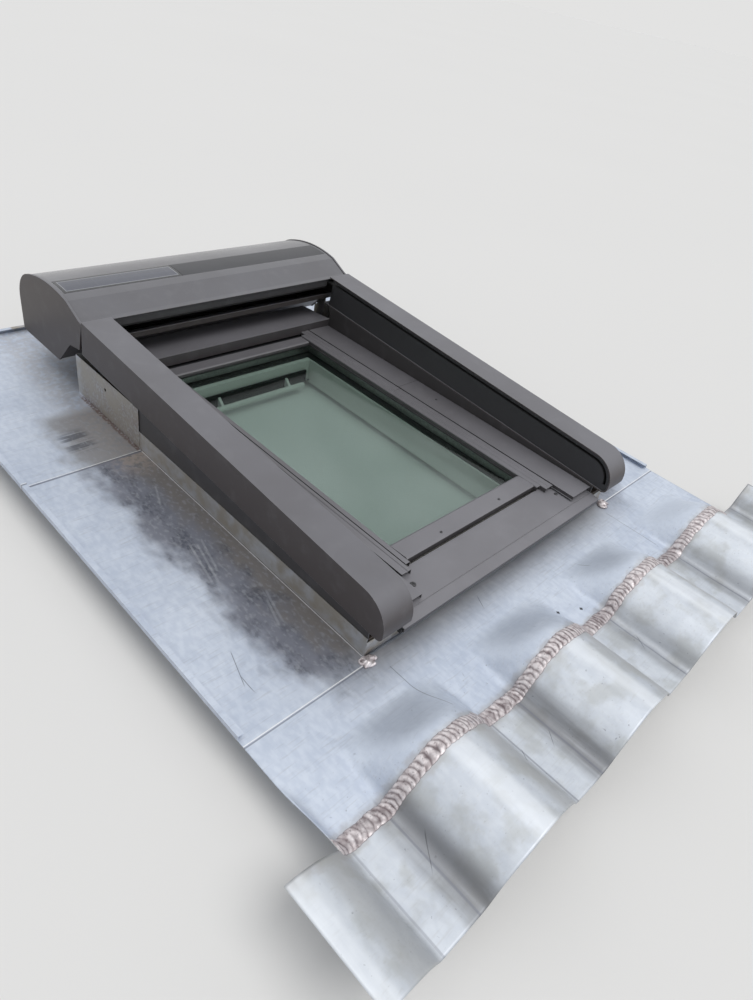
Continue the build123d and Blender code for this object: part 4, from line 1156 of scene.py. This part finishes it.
@dataclass
class Flashing:
    """Zinc sheets round the window, the strip beaten over the tile rolls, and the solder.

    Attributes:
        rolls: The tile rolls under the lower zinc.
        zinc_half: Half width of the flat sheets.
        strip_half: Half width of the dressed strip.
        strip: Lower and upper edge of the strip.
        apron: Lower and upper edge of the apron.
        bulge: Where the rolls have their full height on the apron, and where they have faded out.
        upstand: Half width and height of the apron's upstand.
        seam: Lower and upper edge of the solder bead.
        bead: Thickness of the solder bead.
        rib: Distance between the ribs of the bead.
        lump: Middle's distance from the upstand's side, middle's Y, and reach across and along of a
            lump of solder in the corner of an upstand.
        lump_height: Height of a lump.
        strip_mesh: Distance of the strip's rows across the roof, and number of its columns.
        apron_mesh: The same of the apron, with the columns on the rolls and those above them.
        bead_mesh: The same of the solder bead.
        lump_mesh: Number of a lump's points round it and out from its middle.
        flat: Nodes of the sheets whose CAD shape is kept.
    """

    rolls: TileRolls = field(default_factory=TileRolls)
    zinc_half: float = 540.0
    strip_half: float = 621.0
    strip: Pair = (-305.0, -162.0)
    apron: Pair = (-160.0, 20.0)
    bulge: Pair = (-146.0, -52.0)
    upstand: Pair = (326.0, 31.0)
    seam: Pair = (-167.5, -147.0)
    bead: float = 2.3
    rib: float = 9.0
    lump: tuple[float, float, float, float] = (1.0, 9.0, 14.0, 12.0)
    lump_height: float = 4.6
    strip_mesh: tuple[float, int] = (3.6, 42)
    apron_mesh: tuple[float, int, int] = (4.0, 40, 12)
    bead_mesh: tuple[float, int] = (1.1, 23)
    lump_mesh: tuple[int, int] = (49, 16)
    flat: str = "side_sheet_left side_sheet_right back_sheet"

    def build(self) -> None:
        """Dresses the flat sheets and makes the formed ones and the solder."""
        zinc = WeatheredZinc("weathered_zinc").build()
        solder = SolderFinish("soft_solder").build()
        dress(self.flat.split(), zinc)
        bead = self._bead_skin().joined(self._corner_skin(-1.0)).joined(self._corner_skin(1.0))
        for piece, node in (
            (self._strip_skin().piece("beaten_strip", zinc), "dressed_strip"),
            (self._apron_skin().piece("formed_apron", zinc), "apron"),
            (bead.piece("solder_bead", solder, weld=True), "solder_seam"),
        ):
            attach(piece, "frame")
            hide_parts(node)

    def _strip_skin(self) -> Skin:
        """Strip over the rolls.

        Its height is that of the rolls' line plus soft dents of the mallet, which fade out over the
        last 40 at the solder. Its lower edge wanders a little.

        Returns:
            The closed skin.
        """
        low, high = self.strip
        x = self.rolls.walk(self.strip_half, self.strip_mesh[0])[:, None]
        y = np.linspace(low, high, self.strip_mesh[1])[None, :]
        dents = 0.55 * swell(x, y, 46.0, 3) + 0.22 * swell(x, y, 17.0, 4) + 0.5 * swell(x, y * 0.2, 70.0, 5)
        dents = dents * np.clip((high - y) / 40.0, 0.0, 1.0)
        edge = 0.7 * wander(x, 55.0, 6) * np.clip((y - high) / (low - high), 0, 1)
        upper = grid(x, y + edge, self.rolls.rise(x, ZINC) + dents)
        return closed_shell(upper, grid(x, y + edge, self.rolls.rise(x) + dents))

    def _apron_skin(self) -> Skin:
        """Apron, whose rolls fade out up the slope, and its upstand under the window's lip.

        The height is the roll's height times t * t * (3 - 2 * t), with t from 0 where the rolls have
        faded out to 1 where they are full.

        Returns:
            The closed skin.
        """
        full, faded = self.bulge
        step, low_columns, high_columns = self.apron_mesh
        x = self.rolls.walk(self.zinc_half, step)[:, None]
        low_y = np.linspace(self.apron[0], faded, low_columns)
        y = np.concatenate([low_y, np.linspace(faded, self.apron[1], high_columns)[1:]])[None, :]
        t = np.clip((faded - y) / (faded - full), 0.0, 1.0)
        share = t * t * (3 - 2 * t)
        upper = grid(x, y, ZINC + (self.rolls.rise(x, ZINC) - ZINC) * share)
        sheet = closed_shell(upper, grid(x, y, self.rolls.rise(x) * share))
        half, height = self.upstand
        wall_x = np.linspace(-half, half, 12)[:, None]
        wall_z = np.linspace(ZINC, height, 4)[None, :]
        front = grid(wall_x, self.apron[1] - ZINC, wall_z)
        return sheet.joined(closed_shell(front, grid(wall_x, self.apron[1], wall_z)))

    def _bead_skin(self) -> Skin:
        """Ribbed solder bead along the joint.

        It lies square above the line of the rolls. With v from -1 to 1 across it, p the count of ribs
        passed and f a slow random share from 0 to 1, its height is sqrt(1 - v^4) * (b * (0.42 +
        (0.55 - 0.3 * f) * rib) + lumps), where rib is |sin(pi * p)|^0.55. p also grows by v * v / 2
        and leans with v, which bends the ribs into slanted crescents. In the valleys between the
        rolls, almost half of the rib is a random height instead.

        Returns:
            The closed skin, with painted shade in the grooves and along the edges as its shade.
        """
        x = self.rolls.walk(self.zinc_half - 1.0, self.bead_mesh[0])
        z = self.rolls.rise(x)
        run = self.rolls.along(x)
        slope_x, slope_z = np.gradient(x, run), np.gradient(z, run)
        size = np.hypot(slope_x, slope_z)
        normal = np.stack([-slope_z / size, slope_x / size], axis=-1)
        s = run[:, None]
        v = np.sin(np.linspace(-math.pi / 2, math.pi / 2, self.bead_mesh[1]))[None, :]
        lean = 0.2 + 0.3 * wander(s, 50.0, 17)
        passed = s / self.rib + 0.9 * wander(s, 37.0, 11) + 0.5 * v * v + lean * v
        passed = passed + 0.22 * swell(s, v * 10.0, 7.0, 19)
        flatter = 0.5 + 0.5 * wander(s, 43.0, 16)
        rib = np.abs(np.sin(math.pi * passed)) ** 0.55
        valley = np.clip((self.rolls.from_crest(x)[:, None] - self.rolls.reach()[0]) / 12.0, 0.0, 1.0)
        rib = rib * (1 - 0.45 * valley) + 0.45 * valley * (0.5 + 0.5 * swell(s, v * 9.0, 5.0, 12))
        crown = np.sqrt(np.maximum(1 - v**4, 0.0))
        lumps = 0.45 * swell(s, v * 10.0, 4.0, 13) + 0.35 * swell(s, v * 10.0 + 80.0, 8.0, 18)
        thick = self.bead * crown * (0.42 + (0.55 - 0.3 * flatter) * rib) + crown * lumps
        low, high = self.seam
        ragged = swell(s, s * 0.0 + 50.0 * np.sign(v), 16.0, 14)
        wide = 1.0 + 0.10 * (rib - 0.7) + 0.13 * ragged + 0.12 * valley
        y = (low + high) / 2 + (high - low) / 2 * v * wide + 1.2 * wander(s, 60.0, 15)
        upper = self._lifted(x, z, normal, y, ZINC + 0.12 + thick)
        lower = self._lifted(x, z, normal, y, np.full_like(thick, ZINC - 0.3))
        # Painted shade in the grooves between the ribs and along the bead's edges.
        groove = np.clip(1.6 * (1 - rib) - 0.12 - 0.4 * lumps, 0.0, 1.0)
        groove = groove * (0.35 + 0.65 * crown) * (1.0 - 0.3 * flatter)
        shade = np.maximum(groove, np.clip((np.abs(v) - 0.955) / 0.035, 0.0, 1.0) * 0.75)
        return closed_shell(upper, lower, np.broadcast_to(shade, thick.shape))

    @staticmethod
    def _lifted(x: Array, z: Array, normal: Array, y: Array, lift: Array) -> Array:
        """Points that stand a distance above a line across the roof, square to it."""
        return np.stack([x[:, None] + normal[:, :1] * lift, y, z[:, None] + normal[:, 1:] * lift], axis=-1)

    def _corner_skin(self, side: float) -> Skin:
        """Lump of solder in the corner of an upstand.

        A dome over a wavy circle: at angle a and distance q from its middle, its height is
        h * sqrt(1 - q * q) with lumps in h, and its reach is r times a wavy factor.

        Args:
            side: -1 for the left corner, 1 for the right one.

        Returns:
            The closed skin, with painted shade on its rim and in its hollows as its shade.
        """
        off, middle, across, along = self.lump
        a = np.linspace(0.0, 2 * math.pi, self.lump_mesh[0])[:, None]
        q = np.sin(np.linspace(0.0, math.pi / 2, self.lump_mesh[1]))[None, ::-1]
        round_u, round_v = 20.0 * np.cos(a), 20.0 * np.sin(a)
        reach = 1.0 + 0.40 * swell(round_u + 30.0, round_v + 30.0 * side + 60.0, 9.0, 21)
        x = side * (self.upstand[0] + off) + across * q * reach * np.cos(a)
        y = np.minimum(middle + along * q * reach * np.sin(a), self.apron[1] - ZINC)
        lumps = swell(x, y + 100.0, 5.0, 22) * 2.2 + swell(x, y + 60.0, 2.2, 23) * 0.7
        z = 1.9 + (self.lump_height + lumps) * np.sqrt(np.maximum(1 - q * q, 0.0))
        shade = np.clip(np.maximum((q - 0.93) * 8.0, -0.6 * lumps - 0.2), 0.0, 0.85)
        lower = grid(x, y, np.full_like(z, 2 * ZINC))
        return closed_shell(grid(x, y, z), lower, np.broadcast_to(shade, z.shape))


@dataclass
class Curtain:
    """Slats of the shutter between the roller and the bottom bar.

    At rest they lie close together inside the casing. Their places are chosen to be even if the lower edge
    goes all the way down with the bottom bar while the upper edge stays.

    Attributes:
        upper: Y of the upper edge at rest.
        lower: Y of the lower edge at rest.
        travel: How far the bottom bar goes.
        slats: Number of slats.
        half: Half width, into the slot of each rail.
        depth: Depth of the slats' middle below the rails' top edge.
        slope: Slope of the rails in degrees.
        rail_top: Height of the rails' top edge at the casing's front, and Y of that front.
        grip: How far inside the upper and the lower edge the blend begins and ends. Not used.
    """

    upper: float = 906.0
    lower: float = 826.0
    travel: float = 740.0
    slats: int = 21
    half: float = 295.0
    depth: float = 11.5
    slope: float = 3.585
    rail_top: Pair = (170.0, 795.0)
    grip: Pair = (2.0, 6.0)

    def build(self) -> None:
        """Makes the slats."""
        paint = SatinPaint("slat_paint", (0.060, 0.058, 0.062), (0.115, 0.115, 0.128), 0.8)
        piece = self._skin().piece("curtain_slats", replace(paint, name="jointed_slats", joints=True).build())
        dress(("curtain_roll", "bottom_bar"), paint.build())
        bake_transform(piece)

    def _height(self, y: Union[float, Array]) -> Union[float, Array]:
        """Height of the slats' middle."""
        return self.rail_top[0] - (self.rail_top[1] - y) * math.tan(math.radians(self.slope)) - self.depth

    def _skin(self) -> Skin:
        """Slatted sheet.

        With the share k of the way through a slat, its upper side stands 0.3 + 1.5 * (1 - (2k - 1)^6)
        above the middle line and its lower side 1.8 below it. The place of each point at rest is the
        one that the blend's smooth step t * t * (3 - 2 * t) moves to an even place.

        Returns:
            The closed skin, with the joints of the slats as its shade.
        """
        t = np.linspace(0.0, 1.0, 4001)
        at_rest = (self.upper - self.lower) * t
        pulled = at_rest + self.travel * t * t * (3 - 2 * t)
        even = np.linspace(0.0, pulled[-1], self.slats * 10 + 1)
        y = (self.upper - np.interp(even, pulled, at_rest))[None, ::-1]
        k = (even / pulled[-1] * self.slats % 1.0)[None, ::-1]
        x = np.linspace(-self.half, self.half, 5)[:, None]
        crown = 0.3 + 1.5 * (1 - (2 * k - 1) ** 6)
        upper = grid(x, y, self._height(y) + crown)
        shade = np.clip((np.abs(2 * k - 1) - 0.86) / 0.08, 0.0, 1.0)
        return closed_shell(upper, grid(x, y, self._height(y) - 1.8), np.broadcast_to(shade, upper.shape[:2]))


def dress(nodes: Sequence[str], material: Material) -> None:
    """Gives CAD nodes a material in place of their own.

    Args:
        nodes: Names of the nodes.
        material: The material.
    """
    for name in nodes:
        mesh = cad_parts[name].data
        mesh.materials.clear()
        mesh.materials.append(material)
    LOG.info("%s on %s", material.name, ", ".join(nodes))


@dataclass
class Dressed:
    """Sub-assembly whose pieces keep their CAD shape and get a finish.

    Attributes:
        finishes: Each finish, with the names of the nodes that get it.
    """

    finishes: Dressing = ()

    def build(self) -> None:
        """Dresses the pieces."""
        for finish, nodes in self.finishes:
            dress(nodes.split(), finish.build())


@dataclass
class WindowBody(Dressed):
    """Timber frame, sash and kerb."""

    finishes: Dressing = (
        (
            LacqueredTimber("white_lacquer"),
            "jamb_left jamb_right frame_head frame_sill "
            "stile_left stile_right sash_bottom_rail sash_top_rail",
        ),
        (
            Plain("tarred_timber", (0.075, 0.055, 0.040), (0.045, 0.036, 0.028), 7.0, Way.UPHILL, 0.65,
                  relief_mm=0.1),
            "kerb_left kerb_right kerb_back",
        ),
    )


@dataclass
class Glazing(Dressed):
    """The two panes."""

    finishes: Dressing = (
        (WindowGlass("inner_glass"), "inner_pane"),
        (WindowGlass("outer_glass", drops=0.7), "outer_pane"),
    )


@dataclass
class Covers(Dressed):
    """Painted metal of the window and of the shutter."""

    finishes: Dressing = (
        # Darker copy of the window paint, as painted shade on the hood under the casing.
        (SatinPaint("hood_paint_shaded", (0.058, 0.054, 0.057), (0.168, 0.165, 0.182)), "hood"),
        (
            SatinPaint("window_paint", (0.058, 0.054, 0.057), (0.212, 0.209, 0.229), uphill_shade=0.55),
            "sash_beads sash_bottom_cover sash_top_cover lower_cover_left lower_cover_right "
            "upper_cover_left upper_cover_right bottom_cover",
        ),
        (
            SatinPaint("casing_paint", (0.066, 0.058, 0.056), (0.105, 0.104, 0.118), gloss=0.32, coat=0.9),
            "casing_cover casing_floor",
        ),
        (SatinPaint("shutter_paint"), "rail_left rail_right end_cap_left end_cap_right"),
        # Darker copy of the shutter paint, as painted shade on the skirts under the rails.
        (SatinPaint("skirt_paint_shaded", (0.046, 0.043, 0.044), (0.080, 0.078, 0.086)), "rail_skirts"),
    )


@dataclass
class SmallParts(Dressed):
    """Fixings, seals, the flap, and the pieces on and inside the casing."""

    finishes: Dressing = (
        (
            Plain("plated_steel", (0.50, 0.50, 0.49), (0.40, 0.40, 0.39), 2.0, rough=0.3, metal=1.0),
            "mounting_brackets rail_brackets hinge_runners hinge_channels flap_ears roller_tube",
        ),
        (
            Plain("dark_screws", (0.030, 0.030, 0.033), (0.07, 0.07, 0.075), 1.0, rough=0.4),
            "frame_screws sash_screws",
        ),
        (
            Plain("rubber", (0.020, 0.020, 0.021), (0.032, 0.032, 0.032), 1.5, rough=0.6),
            "glass_gaskets frame_gasket lip_blocks bar_seal",
        ),
        (
            Plain("black_plastic", (0.030, 0.030, 0.033), (0.045, 0.045, 0.048), 1.2, rough=0.45),
            "rail_guide_left rail_guide_right roller_bearings tube_motor battery_pack",
        ),
        (Plain("black_flap", (0.006, 0.006, 0.006), (0.012, 0.012, 0.012), 2.0, rough=0.8), "vent_flap"),
        (Plain("brush_pile", (0.010, 0.010, 0.010), (0.035, 0.035, 0.035), 0.6), "rail_brushes"),
        (Plain("spacer", (0.30, 0.31, 0.30), (0.22, 0.23, 0.22), rough=0.35, metal=1.0), "glass_spacer"),
        (Plain("pale_plastic", (0.72, 0.73, 0.70), (0.66, 0.67, 0.64), 1.2), "control_bar"),
        (SolarCells("solar_cells"), "solar_panel"),
        (
            Plain("dark_strip", (0.034, 0.034, 0.039), (0.042, 0.042, 0.048), 40.0, rough=0.34,
                  relief_mm=0.0),
            "cover_strip",
        ),
    )


def write_sizes() -> None:
    LOG.info("sizes written")


def main() -> None:
    """Builds the studio and the sub-assemblies in order."""
    logging.basicConfig(level=logging.INFO, format="%(name)s: %(message)s")
    for assembly in (Studio(), WindowBody(), Glazing(), Covers(), SmallParts(), Flashing(), Curtain()):
        LOG.info("building %s", type(assembly).__name__)
        assembly.build()
    write_sizes()


if __name__ == "__main__":
    main()
